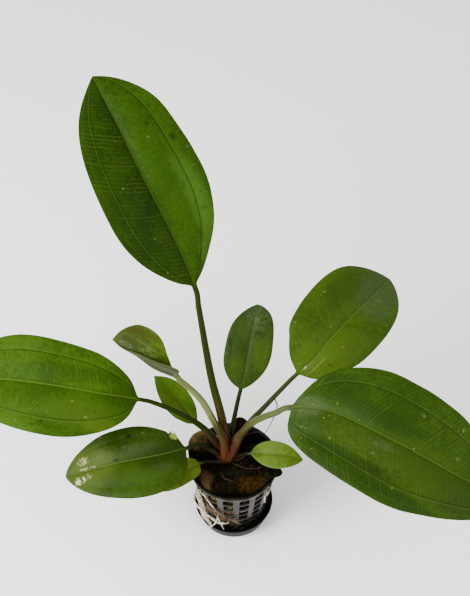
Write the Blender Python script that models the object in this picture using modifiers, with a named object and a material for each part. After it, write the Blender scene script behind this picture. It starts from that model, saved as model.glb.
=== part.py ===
"""Potted echinodorus: a rosette of broad leaves in a slotted net pot that stands in a shallow saucer.

The scene is in metres, +Z up, and the sizes below are in millimetres. The origin is the centre of the
saucer's flat underside. Azimuths are in degrees from the front (-Y), positive towards +X.
"""

import math

import bmesh
import bpy
import numpy as np
from mathutils import Matrix, Vector, noise

MM = 0.001
GAP = 0.3
COLLECTION_NAME = "potted_echinodorus"
CUTTER_COLLECTION_NAME = "potted_echinodorus_cutters"

# Saucer
SAUCER_RIM_RADIUS = 22.4
SAUCER_BASE_RADIUS = 19.0
SAUCER_HEIGHT = 11.5
SAUCER_WALL = 1.2
SAUCER_FLOOR = 1.5
SAUCER_STEPS = 36

# Net pot
POT_FOOT_Z = SAUCER_FLOOR + GAP
POT_RIM_Z = 52.0
POT_TOP_RADIUS = 24.3
POT_BASE_RADIUS = 17.4
POT_WALL = 1.0
POT_FLOOR = 1.4
POT_LIP_RADIUS = 25.0
POT_LIP_HEIGHT = 1.2
POT_STEPS = 36
WINDOW_COLUMNS = 16
WINDOW_FIRST_AZIMUTH = -7.4
WINDOW_ROWS = 6
WINDOW_TOP_ROW_Z = 44.8
WINDOW_PITCH = 7.0
WINDOW_WIDTH_ANGLE = 13.7
WINDOW_HEIGHT = 5.6
FLOOR_SLOTS = 8
FLOOR_SLOT_LENGTH = 7.0
FLOOR_SLOT_WIDTH = 2.6
FLOOR_SLOT_RADIUS = 8.5

# Rockwool plug
WOOL_TOP_Z = 52.8
WOOL_SEGMENTS = 30
WOOL_SIDE_Z = (16.0, 32.0, 45.0)
WOOL_EDGE_RADIUS = 21.8
WOOL_TOP_SHARES = (1.0, 0.86, 0.67, 0.45, 0.22)
WOOL_ROUGHNESS = 0.9
WOOL_SLOPE_FROM_SEAT = 0.6
# each lump: centre x, y, reach along x, y, and how far the top rises there
WOOL_LUMPS = (
    (2.0, -14.0, 20.0, 8.0, 2.8),
    (0.0, -22.5, 15.0, 2.6, -4.5),
    (23.0, -9.0, 5.0, 4.5, 1.8),
    (-18.5, 11.0, 7.5, 11.0, 6.5),
    (5.0, 22.5, 5.2, 3.2, 7.6),
    (13.0, 10.0, 9.0, 8.0, -15.0),
)
# each corner that leans over the rim: azimuth, half spread in degrees, and reach past the wool's edge
WOOL_CORNERS = (
    (69.0, 12.0, 6.4),
    (-108.0, 24.0, 4.2),
    (168.0, 13.0, 3.6),
)

# Crown, the short root stock between the leaves
CROWN_CENTRE = (-4.0, 0.0, 57.0)
CROWN_RADII = (5.6, 5.0, 4.2)
CROWN_SEAT_Z = 54.6
CROWN_SEAT_REACH = 9.0

# Leaves
BLADE_HALF_THICKNESS = 0.3
STALK_TOP_FLATTENING = 0.6
BLADE_SECTION = ((-1.0, -0.6, -0.22, 0.0, 0.22, 0.6, 1.0), (0.6, 0.22, 0.0, -0.22, -0.6))
SMALL_SECTION = ((-1.0, -0.5, 0.0, 0.5, 1.0), (0.5, 0.0, -0.5))
# route: points from the crown to the tip. sheath: length that belongs to the crown.
# stalk: share of the route before the blade starts. thick: half widths of the stalk at both ends.
# left, right: half width of the blade, then its fullness at the base and at the tip (small is full), and
# on a wavy margin the share that the wave adds, the waves along the blade and their phase in degrees.
# roll: turn of the blade about its route at both ends. bend: angle of each half at the midrib, and
# how far it turns on its way to the margin, left half first.
LEAVES = {
    "leaf_tall": {
        "route": ((-4, 0, 56), (-6, 10, 76), (-12, 24, 98), (-18, 46, 126), (-20, 53, 136), (-31, 66, 162),
                  (-46, 83, 188), (-58, 101, 205), (-72, 127, 215)),
        "sheath": 20, "stalk": 0.44, "thick": (2.7, 1.5),
        "left": (28.4, 0.82, 0.92, 0.045, 1.6, -29), "right": (31.1, 0.92, 0.77, 0.07, 1.2, 0),
        "roll": (8, 8),
        "bend": ((16, -16), (16, -16)),
    },
    "leaf_left": {
        "route": ((-4, 0, 57), (-15, 8, 70), (-28, 9, 84), (-41, 9, 94), (-49, 8, 99), (-69, 7, 106),
                  (-95, 11, 108), (-123, 19, 102), (-158, 30, 88)),
        "sheath": 21, "stalk": 0.353, "thick": (2.1, 1.1),
        "left": (26.7, 0.62, 0.86, 0.028, 1.6, -58), "right": (24.9, 0.66, 0.76, 0.04, 1.8, 24),
        "roll": (20, 24),
        "bend": ((12, -14), (12, -14)),
    },
    "leaf_right": {
        "route": ((-3, -1, 57), (3, 2.7, 71.7), (9, 5.2, 80.3), (15, 4, 88.1), (22, 2.8, 94.3),
                  (29, 2.5, 99.5), (48, -5, 108), (71, -19, 110), (95, -31, 105), (117, -40, 97),
                  (151, -46, 80)),
        "sheath": 19, "stalk": 0.287, "thick": (3.0, 1.7),
        "left": (33.9, 0.92, 1.39, 0.065, 1.2, 78), "right": (32.5, 0.5, 0.94, 0.048, 1.8, 102),
        "roll": (-8, -26),
        "bend": ((12, -14), (12, -14)), "lobe": 4,
    },
    "leaf_round": {
        "route": ((-3, 2, 57), (8.6, 13.8, 68.4), (16.2, 17.4, 77.3), (28, 23.6, 90.2), (34, 26.6, 96.1),
                  (43, 31, 104), (51, 39, 109), (63, 52, 112), (76, 67, 112), (87, 82, 109)),
        "sheath": 20, "stalk": 0.419, "thick": (1.7, 1.2),
        "left": (28.1, 0.7, 0.7, 0.075, 1.0, 106), "right": (22.7, 0.72, 0.62, 0.08, 0.8, 89),
        "roll": (-28, -22),
        "bend": ((8, -12), (8, -12)),
    },
    "leaf_oval": {
        "route": ((-3, 2, 57), (-0.4, 11, 70), (2.1, 17, 83), (3.8, 20, 91), (6.3, 25, 102), (8.5, 34, 112),
                  (11, 44, 118), (13, 54, 121)),
        "sheath": 16, "stalk": 0.445, "thick": (1.6, 1.1),
        "left": (13.3, 0.68, 0.74, 0.054, 1.4, 16), "right": (12.5, 0.74, 0.54, 0.05, 1.4, -79),
        "roll": (-8, -4),
        "bend": ((8, -14), (8, -14)),
    },
    "leaf_curled": {
        "route": ((-4, -1.8, 57.5), (-5.1, 0.5, 70.5), (-9.1, 5.3, 77.8), (-14, 11.9, 84.4),
                  (-18, 16.4, 88), (-23, 19, 93), (-28, 20, 99), (-31, 21, 103), (-41, 21, 110),
                  (-50, 25, 115), (-58, 28, 118), (-63, 32, 119)),
        "sheath": 21, "stalk": 0.613, "thick": (2.6, 1.8),
        "left": (9.0, 0.35, 2.2), "right": (16.6, 1.14, 0.63), "roll": (0, 0),
        "bend": ((80, 35), (48, 25)), "lobe": 2,
    },
    "leaf_low": {
        "route": ((-5, 0, 57), (-14, -1, 66), (-18, -2, 72), (-25, -6, 74), (-40, -11, 75), (-60, -13, 71),
                  (-76, -14, 65), (-90, -14, 58)),
        "sheath": 11, "stalk": 0.292, "thick": (1.6, 1.1),
        "left": (21.4, 0.45, 0.77), "right": (18.1, 0.57, 0.62),
        "roll": (16, 12),
        "bend": ((12, -14), (12, -14)),
    },
    "leaf_small_back": {
        "route": ((-7, 4, 57), (-11, 9, 59), (-16, 13, 62), (-20, 15, 66), (-25, 20, 71), (-32, 26, 75),
                  (-38, 32, 77), (-44, 39, 77)),
        "sheath": 8, "stalk": 0.352, "thick": (1.1, 0.8),
        "left": (8.3, 0.68, 1.0), "right": (7.4, 1.0, 0.97),
        "roll": (25, 20),
        "bend": ((14, -10), (14, -10)),
    },
    "leaf_small_left": {
        "route": ((-5, -3, 57), (-8, -4, 57.5), (-14, -5, 59), (-19, -7, 60), (-26, -11, 60),
                  (-35, -15, 57), (-45, -16, 52)),
        "sheath": 6, "stalk": 0.318, "thick": (1.1, 0.8),
        "left": (7.8, 0.36, 0.6), "right": (7.6, 0.6, 0.8),
        "roll": (8, 8),
        "bend": ((14, -10), (14, -10)),
    },
    "leaf_small_right": {
        "route": ((-2, -1, 57), (5, -2, 61), (9, -3, 64), (18, -6, 68), (28, -8, 70), (37, -10, 69)),
        "sheath": 6, "stalk": 0.307, "thick": (1.1, 0.8),
        "left": (7.3, 0.71, 0.95), "right": (7.8, 1.0, 0.8), "roll": (-20, -20),
        "bend": ((14, -10), (14, -10)),
    },
}
SMALL_LEAVES = ("leaf_small_back", "leaf_small_left", "leaf_small_right")

# Roots: radius, then points as azimuth, height, and distance of the centre line from the pot's wall
ROOTS = {
    "root_upper_left": (0.5, (
        (-50, 45.5, -0.5), (-47, 46.8, 0.9), (-41, 46.3, 0.9), (-37, 43.4, 0.9), (-33, 40.8, 0.9),
        (-29, 37.9, 0.9), (-26.6, 34.6, 0.9), (-26, 31, 0.9),
    )),
    "root_clump": (0.6, (
        (-54, 43.8, -0.5), (-54, 43, 1.2), (-52.5, 36, 1.5), (-50, 30, 1.9), (-47, 26, 2.4),
        (-45, 21, 3.1), (-39, 17.5, 3.1), (-33, 14.8, 3.0),
    )),
    "root_long": (0.5, (
        (-70, 31, -0.5), (-68.5, 31.6, 1.2), (-61, 32.6, 3.6), (-54, 32, 4.6), (-47, 30.5, 4.3),
        (-40, 27.5, 4.0), (-35, 25.2, 3.4), (-31, 22.1, 2.6), (-26.8, 19.7, 2.2), (-22, 18.4, 2.0),
        (-17.3, 19, 2.0), (-11, 20.8, 2.0), (-6.6, 22.3, 1.8),
    )),
    "root_spill": (0.5, (
        (-29, 17.2, -0.5), (-28.5, 17, 0.9), (-28.5, 16.6, 3.0), (-32, 15, 4.6), (-36.5, 12.9, 5.4),
        (-40, 8.5, 6.2),
    )),
    "root_fork": (0.4, (
        (-26, 23.5, -0.5), (-24.5, 23.8, 1.0), (-18.5, 23, 2.8), (-16.6, 21.6, 3.5), (-15.5, 18.1, 3.7),
        (-13.7, 14.7, 3.6),
    )),
    "root_front": (0.4, (
        (-3, 25, -0.5), (-2, 24.8, 0.8), (2.2, 22.4, 0.9), (5.3, 19.7, 1.0), (11.6, 17, 1.2),
    )),
    "root_right": (0.5, (
        (58, 44, -0.5), (56.5, 44.4, 0.9), (51.4, 44.4, 1.0), (47.6, 43.2, 1.0), (46.8, 40.3, 1.0),
        (47.6, 35.9, 1.0), (52, 30, 1.0),
    )),
}

# Dry strand, a dead fibre from a stalk down to the pot's rim
STRAND_RADIUS = 0.3
STRAND_ROUTE = (
    (22.2, 22.8, 79), (23.6, 20.9, 76), (23.5, 19.7, 72), (22, 18.6, 66), (20.1, 17.4, 60),
    (17.6, 17.1, 52.9),
)

# Colours, linear RGB, with roughness
COLOURS = {
    "black_plastic": ((0.012, 0.012, 0.013), 0.35),
    "saucer_plastic": ((0.015, 0.015, 0.016), 0.4),
    "rockwool": ((0.045, 0.022, 0.010), 0.95),
    "crown": ((0.12, 0.045, 0.02), 0.6),
    "leaf": ((0.06, 0.14, 0.012), 0.45),
    "young_leaf": ((0.16, 0.26, 0.025), 0.45),
    "root": ((0.62, 0.55, 0.42), 0.6),
    "strand": ((0.25, 0.16, 0.13), 0.8),
}


def clear_scene():
    for item in list(bpy.data.objects):
        bpy.data.objects.remove(item)


def collection(name):
    found = bpy.data.collections.new(name)
    bpy.context.scene.collection.children.link(found)
    return found


def material(name):
    colour, roughness = COLOURS[name]
    made = bpy.data.materials.new(name)
    made.use_nodes = True
    shader = made.node_tree.nodes["Principled BSDF"]
    shader.inputs["Base Color"].default_value = (*colour, 1.0)
    shader.inputs["Roughness"].default_value = roughness
    shader.inputs["Metallic"].default_value = 0.0
    return made


def new_object(name, mesh, finish, group):
    item = bpy.data.objects.new(name, mesh)
    group.objects.link(item)
    if finish:
        mesh.materials.append(finish)
    return item


def mesh_from(name, bm):
    mesh = bpy.data.meshes.new(name)
    bm.to_mesh(mesh)
    bm.free()
    return mesh


def boolean(item, other, operation):
    modifier = item.modifiers.new(operation.lower() + "_" + other.name, "BOOLEAN")
    modifier.operation = operation
    modifier.solver = "EXACT"
    modifier.object = other


def as_cutter(item):
    item.hide_render = True
    item.display_type = "WIRE"


def smooth(mesh, angle=40.0):
    mesh.shade_smooth()
    mesh.set_sharp_from_angle(angle=math.radians(angle))


def turned(name, profile, steps, finish, group):
    """Turns a profile of (radius, height) in mm round Z. It runs up the inside and down the outside."""
    bm = bmesh.new()
    verts = [bm.verts.new((r * MM, 0.0, z * MM)) for r, z in profile]
    for a, b in zip(verts, verts[1:]):
        bm.edges.new((a, b))
    mesh = mesh_from(name, bm)
    item = new_object(name, mesh, finish, group)
    screw = item.modifiers.new("turn", "SCREW")
    screw.axis = "Z"
    screw.steps = steps
    screw.render_steps = steps
    screw.use_merge_vertices = True
    screw.merge_threshold = 0.00001
    screw.use_smooth_shade = True
    return item


def loft(name, rings, start, end, finish, group):
    """Joins equal rings of points in metres, in order, and closes both ends on one point each."""
    bm = bmesh.new()
    rows = [[bm.verts.new(p) for p in ring] for ring in rings]
    first = bm.verts.new(start)
    last = bm.verts.new(end)
    count = len(rows[0])
    for low, high in zip(rows, rows[1:]):
        for i in range(count):
            j = (i + 1) % count
            bm.faces.new((low[i], low[j], high[j], high[i]))
    for i in range(count):
        j = (i + 1) % count
        bm.faces.new((rows[0][j], rows[0][i], first))
        bm.faces.new((rows[-1][i], rows[-1][j], last))
    bmesh.ops.recalc_face_normals(bm, faces=bm.faces)
    mesh = mesh_from(name, bm)
    smooth(mesh)
    return new_object(name, mesh, finish, group)


def pot_radius(z):
    """Outer radius of the pot's tapered wall at a height."""
    share = (z - POT_FOOT_Z) / (POT_RIM_Z - POT_FOOT_Z)
    return POT_BASE_RADIUS + (POT_TOP_RADIUS - POT_BASE_RADIUS) * share


def round_the_pot(azimuth, z, stand_off):
    """Point at a distance from the pot's outer wall, in millimetres."""
    turn = math.radians(azimuth)
    radius = pot_radius(z) + stand_off
    return (radius * math.sin(turn), -radius * math.cos(turn), z)


def smooth_path(points, count):
    """Points at even distances along the Catmull-Rom curve through the given points, and its length."""
    pts = np.array(points, float)
    pts = np.vstack([2 * pts[0] - pts[1], pts, 2 * pts[-1] - pts[-2]])
    t = np.linspace(0, 1, 32, endpoint=False)[:, None]
    spans = []
    for a, b, c, d in zip(pts, pts[1:], pts[2:], pts[3:]):
        spans.append(0.5 * (2 * b + (c - a) * t + (2 * a - 5 * b + 4 * c - d) * t**2
                            + (3 * b - a - 3 * c + d) * t**3))
    curve = np.vstack(spans + [pts[-2:-1]])
    run = np.concatenate([[0.0], np.cumsum(np.linalg.norm(np.diff(curve, axis=0), axis=1))])
    even = np.linspace(0, run[-1], count)
    return np.stack([np.interp(even, run, curve[:, k]) for k in range(3)], axis=1), run[-1]


def fullness(share, base, tip):
    """Width of a blade along its length, 0 to 1: share^base * (1 - share)^tip, scaled to a peak of 1."""
    peak = base / (base + tip)
    top = peak**base * (1 - peak) ** tip
    return share**base * (1 - share) ** tip / top


def blade_width(share, half, base, tip, amount=0.0, waves=0.0, phase=0.0):
    """Half width of a blade at a share of its length, with slow waves along the margin."""
    wave = 1 + amount * math.sin(math.radians(360 * waves * share + phase))
    return half * fullness(share, base, tip) * wave


def arc_section(reach, fold, turn):
    """Across and up position of a point that leaves the midrib at an angle and turns evenly on its way.

    The chord of the arc is as long as the arc times sin(h) / h, where h is half the turn, and it points
    half the turn away from the fold.
    """
    half_turn = math.radians(turn) * reach / 2
    chord = reach * float(np.sinc(half_turn / math.pi))
    direction = math.radians(fold) + half_turn
    return chord * math.cos(direction), chord * math.sin(direction)


class Leaf:
    """One leaf: a stalk that opens into a blade, both worked out along the same route."""

    SAMPLES = 400

    def __init__(self, spec):
        self.spec = spec
        self.path, self.length = smooth_path(spec["route"], self.SAMPLES)
        self.tangents = np.gradient(self.path, axis=0)
        self.tangents /= np.linalg.norm(self.tangents, axis=1)[:, None]
        start = self.path[int(spec["stalk"] * (self.SAMPLES - 1))]
        heading = (self.path[-1] - start)[:2]
        heading /= np.linalg.norm(heading)
        self.side = np.array([heading[1], -heading[0], 0.0])

    def at(self, share):
        """Centre, tangent, right and up directions at a share of the route."""
        place = share * (self.SAMPLES - 1)
        low = min(int(place), self.SAMPLES - 2)
        part = place - low
        centre = self.path[low] * (1 - part) + self.path[low + 1] * part
        tangent = self.tangents[low] * (1 - part) + self.tangents[low + 1] * part
        tangent /= np.linalg.norm(tangent)
        side = self.side - tangent * np.dot(self.side, tangent)
        side /= np.linalg.norm(side)
        normal = np.cross(side, tangent)
        roll = math.radians(self.spec["roll"][0]
                            + (self.spec["roll"][1] - self.spec["roll"][0]) * self.blade_share(share))
        right = side * math.cos(roll) + normal * math.sin(roll)
        up = normal * math.cos(roll) - side * math.sin(roll)
        return centre, tangent, right, up

    def blade_share(self, share):
        stalk = self.spec["stalk"]
        return min(max((share - stalk) / (1 - stalk), 0.0), 1.0)

    def stalk_radius(self, share):
        """Half width of the stalk, which runs on as a tapering rib under the blade."""
        base, top = self.spec["thick"]
        if share < self.spec["stalk"]:
            return base + (top - base) * share / self.spec["stalk"]
        return 0.25 + (top - 0.25) * (1 - self.blade_share(share)) ** 0.9

    def point(self, share, across, below):
        """Point of the skin: across runs from -1 to 1, and below chooses the lower face."""
        centre, tangent, right, up = self.at(share)
        along = self.blade_share(share)
        outline = self.spec["right" if across > 0 else "left"]
        fold, turn = self.spec["bend"][1 if across > 0 else 0]
        open_width = blade_width(along, *outline)
        stem = self.stalk_radius(share)
        width = math.hypot(open_width, stem)
        opened = open_width / (open_width + stem)
        fold *= opened
        turn *= opened
        x, z = arc_section(abs(across), fold, turn)
        x *= width
        z *= width
        slope = math.radians(fold + turn * abs(across)) * math.copysign(1.0, across)
        body = stem * math.exp(-((across * width / (1.2 * stem)) ** 2))
        rim = math.sqrt(max(1 - across**2, 0.0))
        if below:
            depth = -(0.8 * body + BLADE_HALF_THICKNESS) * rim
        else:
            depth = (STALK_TOP_FLATTENING * body * (1 - opened) + BLADE_HALF_THICKNESS) * rim
        to_the_side = math.copysign(x, across) - depth * math.sin(slope)
        skin = right * to_the_side + up * (z + depth * math.cos(slope))
        lobe = self.spec.get("lobe", 0) * across**2 * math.exp(-along / 0.12) * open_width / outline[0]
        return (centre + skin - tangent * lobe) * MM

    def ring(self, share, section):
        top, bottom = section
        upper = [self.point(share, u, below=False) for u in top]
        lower = [self.point(share, u, below=True) for u in bottom]
        return upper + lower

    def shares(self, first, stalk_steps, blade_steps):
        """Stations along the route: even on the stalk, closer together towards both ends of the blade."""
        stalk = self.spec["stalk"]
        stations = list(np.linspace(first, stalk, stalk_steps, endpoint=False))
        turns = np.linspace(0, math.pi, blade_steps + 1)[:-1]
        stations += list(stalk + (1 - stalk) * (1 - np.cos(turns)) / 2)
        return stations


def make_leaf(name, finish, group):
    leaf = Leaf(LEAVES[name])
    small = name in SMALL_LEAVES
    section = SMALL_SECTION if small else BLADE_SECTION
    steps = (4, 9) if small else (5, 12)
    first = (LEAVES[name]["sheath"] + GAP) / leaf.length
    shares = leaf.shares(first, *steps)
    rings = [leaf.ring(share, section) for share in shares]
    start = leaf.at(first)[0] * MM
    return loft(name, rings, start, leaf.path[-1] * MM, finish, group)


def make_crown(finish, group, cutters):
    """Root stock with the clasping bases of the stalks, which fan out from it and are joined to it."""
    bm = bmesh.new()
    bmesh.ops.create_uvsphere(bm, u_segments=14, v_segments=8, radius=1.0)
    place = Matrix.Translation(Vector(CROWN_CENTRE) * MM)
    size = Matrix.Diagonal((*(r * MM for r in CROWN_RADII), 1.0))
    bmesh.ops.transform(bm, matrix=place @ size, verts=bm.verts)
    seat = CROWN_SEAT_Z * MM
    cut = bmesh.ops.bisect_plane(bm, geom=bm.verts[:] + bm.edges[:] + bm.faces[:], plane_co=(0, 0, seat),
                                 plane_no=(0, 0, -1), clear_outer=True)
    bmesh.ops.edgeloop_fill(bm, edges=[e for e in cut["geom_cut"] if isinstance(e, bmesh.types.BMEdge)])
    bmesh.ops.recalc_face_normals(bm, faces=bm.faces)
    crown = new_object("crown", mesh_from("crown", bm), finish, group)
    for name, spec in LEAVES.items():
        leaf = Leaf(spec)
        last = spec["sheath"] / leaf.length
        rings = [leaf.ring(share, SMALL_SECTION) for share in np.linspace(0.0, last, 4)]
        stub = loft("sheath_" + name, rings, leaf.at(0.0)[0] * MM, leaf.at(last)[0] * MM, None, cutters)
        as_cutter(stub)
        boolean(crown, stub, "UNION")
    return crown


def make_saucer(finish, group):
    inner_base = SAUCER_BASE_RADIUS - SAUCER_WALL
    inner_rim = SAUCER_RIM_RADIUS - SAUCER_WALL
    profile = (
        (0, SAUCER_FLOOR), (inner_base, SAUCER_FLOOR), (inner_rim, SAUCER_HEIGHT - 0.3),
        (inner_rim + 0.3, SAUCER_HEIGHT), (SAUCER_RIM_RADIUS - 0.3, SAUCER_HEIGHT),
        (SAUCER_RIM_RADIUS, SAUCER_HEIGHT - 0.3), (SAUCER_BASE_RADIUS + 0.5, 0.9),
        (SAUCER_BASE_RADIUS - 0.4, 0), (0, 0),
    )
    return turned("saucer", profile, SAUCER_STEPS, finish, group)


def make_window_cutter(cutters):
    """Boxes for the stacked slots of the wall and the slots of the floor, as one cutter."""
    bm = bmesh.new()
    lean = math.atan2(POT_TOP_RADIUS - POT_BASE_RADIUS, POT_RIM_Z - POT_FOOT_Z)
    for column in range(WINDOW_COLUMNS):
        turn = math.radians(WINDOW_FIRST_AZIMUTH + 360.0 / WINDOW_COLUMNS * column)
        for row in range(WINDOW_ROWS):
            z = WINDOW_TOP_ROW_Z - WINDOW_PITCH * row
            middle = pot_radius(z) - POT_WALL / 2
            width = 2 * middle * math.tan(math.radians(WINDOW_WIDTH_ANGLE / 2))
            box = (Matrix.Rotation(turn, 4, "Z") @ Matrix.Translation(Vector((0, -middle, z)) * MM)
                   @ Matrix.Rotation(lean, 4, "X")
                   @ Matrix.Diagonal((width * MM, 4 * POT_WALL * MM, WINDOW_HEIGHT * MM, 1.0)))
            bmesh.ops.create_cube(bm, size=1.0, matrix=box)
    for slot in range(FLOOR_SLOTS):
        turn = Matrix.Rotation(2 * math.pi * slot / FLOOR_SLOTS, 4, "Z")
        place = Matrix.Translation(Vector((0, -FLOOR_SLOT_RADIUS, POT_FOOT_Z + POT_FLOOR / 2)) * MM)
        size = Matrix.Diagonal((FLOOR_SLOT_WIDTH * MM, FLOOR_SLOT_LENGTH * MM, 3 * POT_FLOOR * MM, 1.0))
        bmesh.ops.create_cube(bm, size=1.0, matrix=turn @ place @ size)
    cutter = new_object("pot_slots", mesh_from("pot_slots", bm), None, cutters)
    as_cutter(cutter)
    return cutter


def make_net_pot(finish, group, cutters):
    lip_under = POT_RIM_Z - POT_LIP_HEIGHT
    floor_top = POT_FOOT_Z + POT_FLOOR
    profile = (
        (0, floor_top), (pot_radius(floor_top) - POT_WALL, floor_top),
        (POT_TOP_RADIUS - POT_WALL, POT_RIM_Z), (POT_LIP_RADIUS, POT_RIM_Z), (POT_LIP_RADIUS, lip_under),
        (pot_radius(lip_under), lip_under), (POT_BASE_RADIUS, POT_FOOT_Z), (0, POT_FOOT_Z),
    )
    pot = turned("net_pot", profile, POT_STEPS, finish, group)
    boolean(pot, make_window_cutter(cutters), "DIFFERENCE")
    return pot


def wool_height(x, y):
    """Height of the plug's top: lumps added to a level, lowered to a flat seat under the crown."""
    rise = 0.0
    for centre_x, centre_y, reach_x, reach_y, height in WOOL_LUMPS:
        rise += height * math.exp(-((x - centre_x) / reach_x) ** 2 - ((y - centre_y) / reach_y) ** 2)
    rise += WOOL_ROUGHNESS * noise.noise(Vector((x * 0.21, y * 0.21, 3.7)))
    level = WOOL_TOP_Z + rise
    from_crown = math.hypot(x - CROWN_CENTRE[0], y - CROWN_CENTRE[1])
    ceiling = CROWN_SEAT_Z - GAP + WOOL_SLOPE_FROM_SEAT * max(from_crown - CROWN_SEAT_REACH, 0.0)
    return min(level, ceiling)


def wool_overhang(azimuth):
    """How far the wool reaches past its edge at an azimuth."""
    reach = 0.0
    for middle, spread, most in WOOL_CORNERS:
        off = (azimuth - middle + 180.0) % 360.0 - 180.0
        reach = max(reach, most * math.exp(-((off / spread) ** 2)))
    return reach


def make_rockwool(finish, group):
    """Plug of wool that fills the pot, with a broken top and three corners that lean over the rim."""
    floor = POT_FOOT_Z + POT_FLOOR + GAP
    inset = POT_WALL + GAP + 0.15
    collar = POT_RIM_Z + GAP + 0.1
    turns = np.linspace(0, 2 * math.pi, WOOL_SEGMENTS, endpoint=False)
    floor_radius = pot_radius(floor) - inset
    columns = []
    for turn in turns:
        across, away = math.cos(turn), math.sin(turn)
        edge = wool_height(WOOL_EDGE_RADIUS * across, WOOL_EDGE_RADIUS * away)
        stack = [(floor_radius * share, z) for share, z in ((0.55, floor), (0.97, floor + 0.6))]
        for z in (*WOOL_SIDE_Z, collar):
            low = min(z, edge - (0.3 if z == collar else 1.2 + 0.05 * (collar - z)))
            stack.append((pot_radius(min(low, POT_RIM_Z)) - inset, low))
        over = wool_overhang(math.degrees(turn) + 90.0) if edge > collar + 0.4 else 0.0
        for share in WOOL_TOP_SHARES:
            radius = WOOL_EDGE_RADIUS * share
            z = wool_height(radius * across, radius * away)
            stack.append((radius + over * max(share - 0.8, 0.0) / 0.2, z))
        columns.append([(r * across * MM, r * away * MM, z * MM) for r, z in stack])
    rings = [list(ring) for ring in zip(*columns)]
    start = (0.0, 0.0, floor * MM)
    end = (0.0, 0.0, wool_height(0.0, 0.0) * MM)
    return loft("rockwool", rings, start, end, finish, group)


def make_tube(name, points, radius, finish, group):
    """Round fibre along a smooth route, thinner towards its tip, with closed ends."""
    count = max(int(round(smooth_path(points, 2)[1] / 3.2)), 5)
    path, _ = smooth_path(points, count)
    curve = bpy.data.curves.new(name, "CURVE")
    curve.dimensions = "3D"
    curve.bevel_depth = radius * MM
    curve.bevel_resolution = 2
    curve.use_fill_caps = True
    spline = curve.splines.new("POLY")
    spline.points.add(count - 1)
    for place, point in enumerate(path):
        spline.points[place].co = (*(point * MM), 1.0)
        spline.points[place].radius = 1.0 - 0.35 * place / (count - 1)
    item = bpy.data.objects.new(name, curve)
    curve.materials.append(finish)
    group.objects.link(item)
    return item


def build():
    clear_scene()
    group = collection(COLLECTION_NAME)
    cutters = collection(CUTTER_COLLECTION_NAME)
    finish = {name: material(name) for name in COLOURS}
    make_saucer(finish["saucer_plastic"], group)
    make_net_pot(finish["black_plastic"], group, cutters)
    make_rockwool(finish["rockwool"], group)
    make_crown(finish["crown"], group, cutters)
    for name in LEAVES:
        young = name in ("leaf_small_left", "leaf_small_right", "leaf_curled")
        make_leaf(name, finish["young_leaf" if young else "leaf"], group)
    for name, (radius, points) in ROOTS.items():
        make_tube(name, [round_the_pot(*point) for point in points], radius, finish["root"], group)
    make_tube("dry_strand", STRAND_ROUTE, STRAND_RADIUS, finish["strand"], group)


build()
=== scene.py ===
# %% [markdown]
# # A potted echinodorus, piece by piece
#
# The plant is a rosette of broad leaves that grows out of a plug of mineral wool. The wool sits in a slotted
# net pot, and the pot stands in a shallow black saucer. This lesson gives each piece its surface and its finish.
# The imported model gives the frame: metres, +Z up, with the origin under the middle of the saucer.

# %% Load the frame
import math

import bpy
import numpy as np
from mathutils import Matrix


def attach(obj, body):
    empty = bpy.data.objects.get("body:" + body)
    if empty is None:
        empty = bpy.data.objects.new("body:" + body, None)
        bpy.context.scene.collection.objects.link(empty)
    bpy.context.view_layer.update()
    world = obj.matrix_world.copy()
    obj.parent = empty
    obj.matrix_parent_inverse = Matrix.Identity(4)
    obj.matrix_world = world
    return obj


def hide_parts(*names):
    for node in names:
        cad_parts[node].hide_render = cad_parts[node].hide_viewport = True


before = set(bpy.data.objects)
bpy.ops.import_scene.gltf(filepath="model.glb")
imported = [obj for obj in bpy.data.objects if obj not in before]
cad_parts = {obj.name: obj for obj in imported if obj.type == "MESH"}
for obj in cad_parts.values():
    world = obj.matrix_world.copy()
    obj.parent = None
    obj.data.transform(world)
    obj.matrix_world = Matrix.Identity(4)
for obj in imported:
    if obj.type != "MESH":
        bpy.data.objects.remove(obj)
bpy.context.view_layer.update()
MM = 0.001

# %% [markdown]
# ## Camera, light and floor
#
# The photograph looks down on the plant at 50 degrees. A long lens keeps the far leaves nearly as large as the
# near ones. Two values place the camera: the point it aims at and its distance. The light is a large soft panel
# to the left, a weaker one to the right, and a bright even sky, as in a light tent.

# %% Camera
AIM = np.array((0.8, 76.1, 100.0)) * MM
ELEVATION = math.radians(50.0)
DISTANCE = 616.0 * MM
PHOTO_HEIGHT = 596
FOCAL_PIXELS = 1100.0
SENSOR = 36.0

camera = bpy.data.objects.new("camera", bpy.data.cameras.new("camera"))
camera.data.sensor_width = SENSOR
camera.data.lens = SENSOR * FOCAL_PIXELS / PHOTO_HEIGHT
camera.data.clip_start = 0.01
camera.location = AIM + DISTANCE * np.array((0.0, -math.cos(ELEVATION), math.sin(ELEVATION)))
camera.rotation_euler = (math.pi / 2 - ELEVATION, 0.0, 0.0)
bpy.context.scene.collection.objects.link(camera)
bpy.context.scene.camera = camera
print("lens in mm:", round(camera.data.lens, 1))

# %% Light
def soft_panel(name, place, aim, size, power):
    """A square area light that faces a point."""
    panel = bpy.data.objects.new(name, bpy.data.lights.new(name, "AREA"))
    panel.data.size = size
    panel.data.energy = power
    panel.location = place
    away = np.array(place) - np.array(aim)
    across = math.atan2(away[0], -away[1])
    down = math.atan2(math.hypot(away[0], away[1]), away[2])
    panel.rotation_euler = (down, 0.0, across)
    bpy.context.scene.collection.objects.link(panel)
    return panel


soft_panel("key_panel", (-0.75, -0.35, 0.65), (0.0, 0.0, 0.1), 0.6, 26.0)
soft_panel("fill_panel", (0.6, -0.4, 0.6), (0.0, 0.0, 0.08), 0.6, 3.0)

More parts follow.
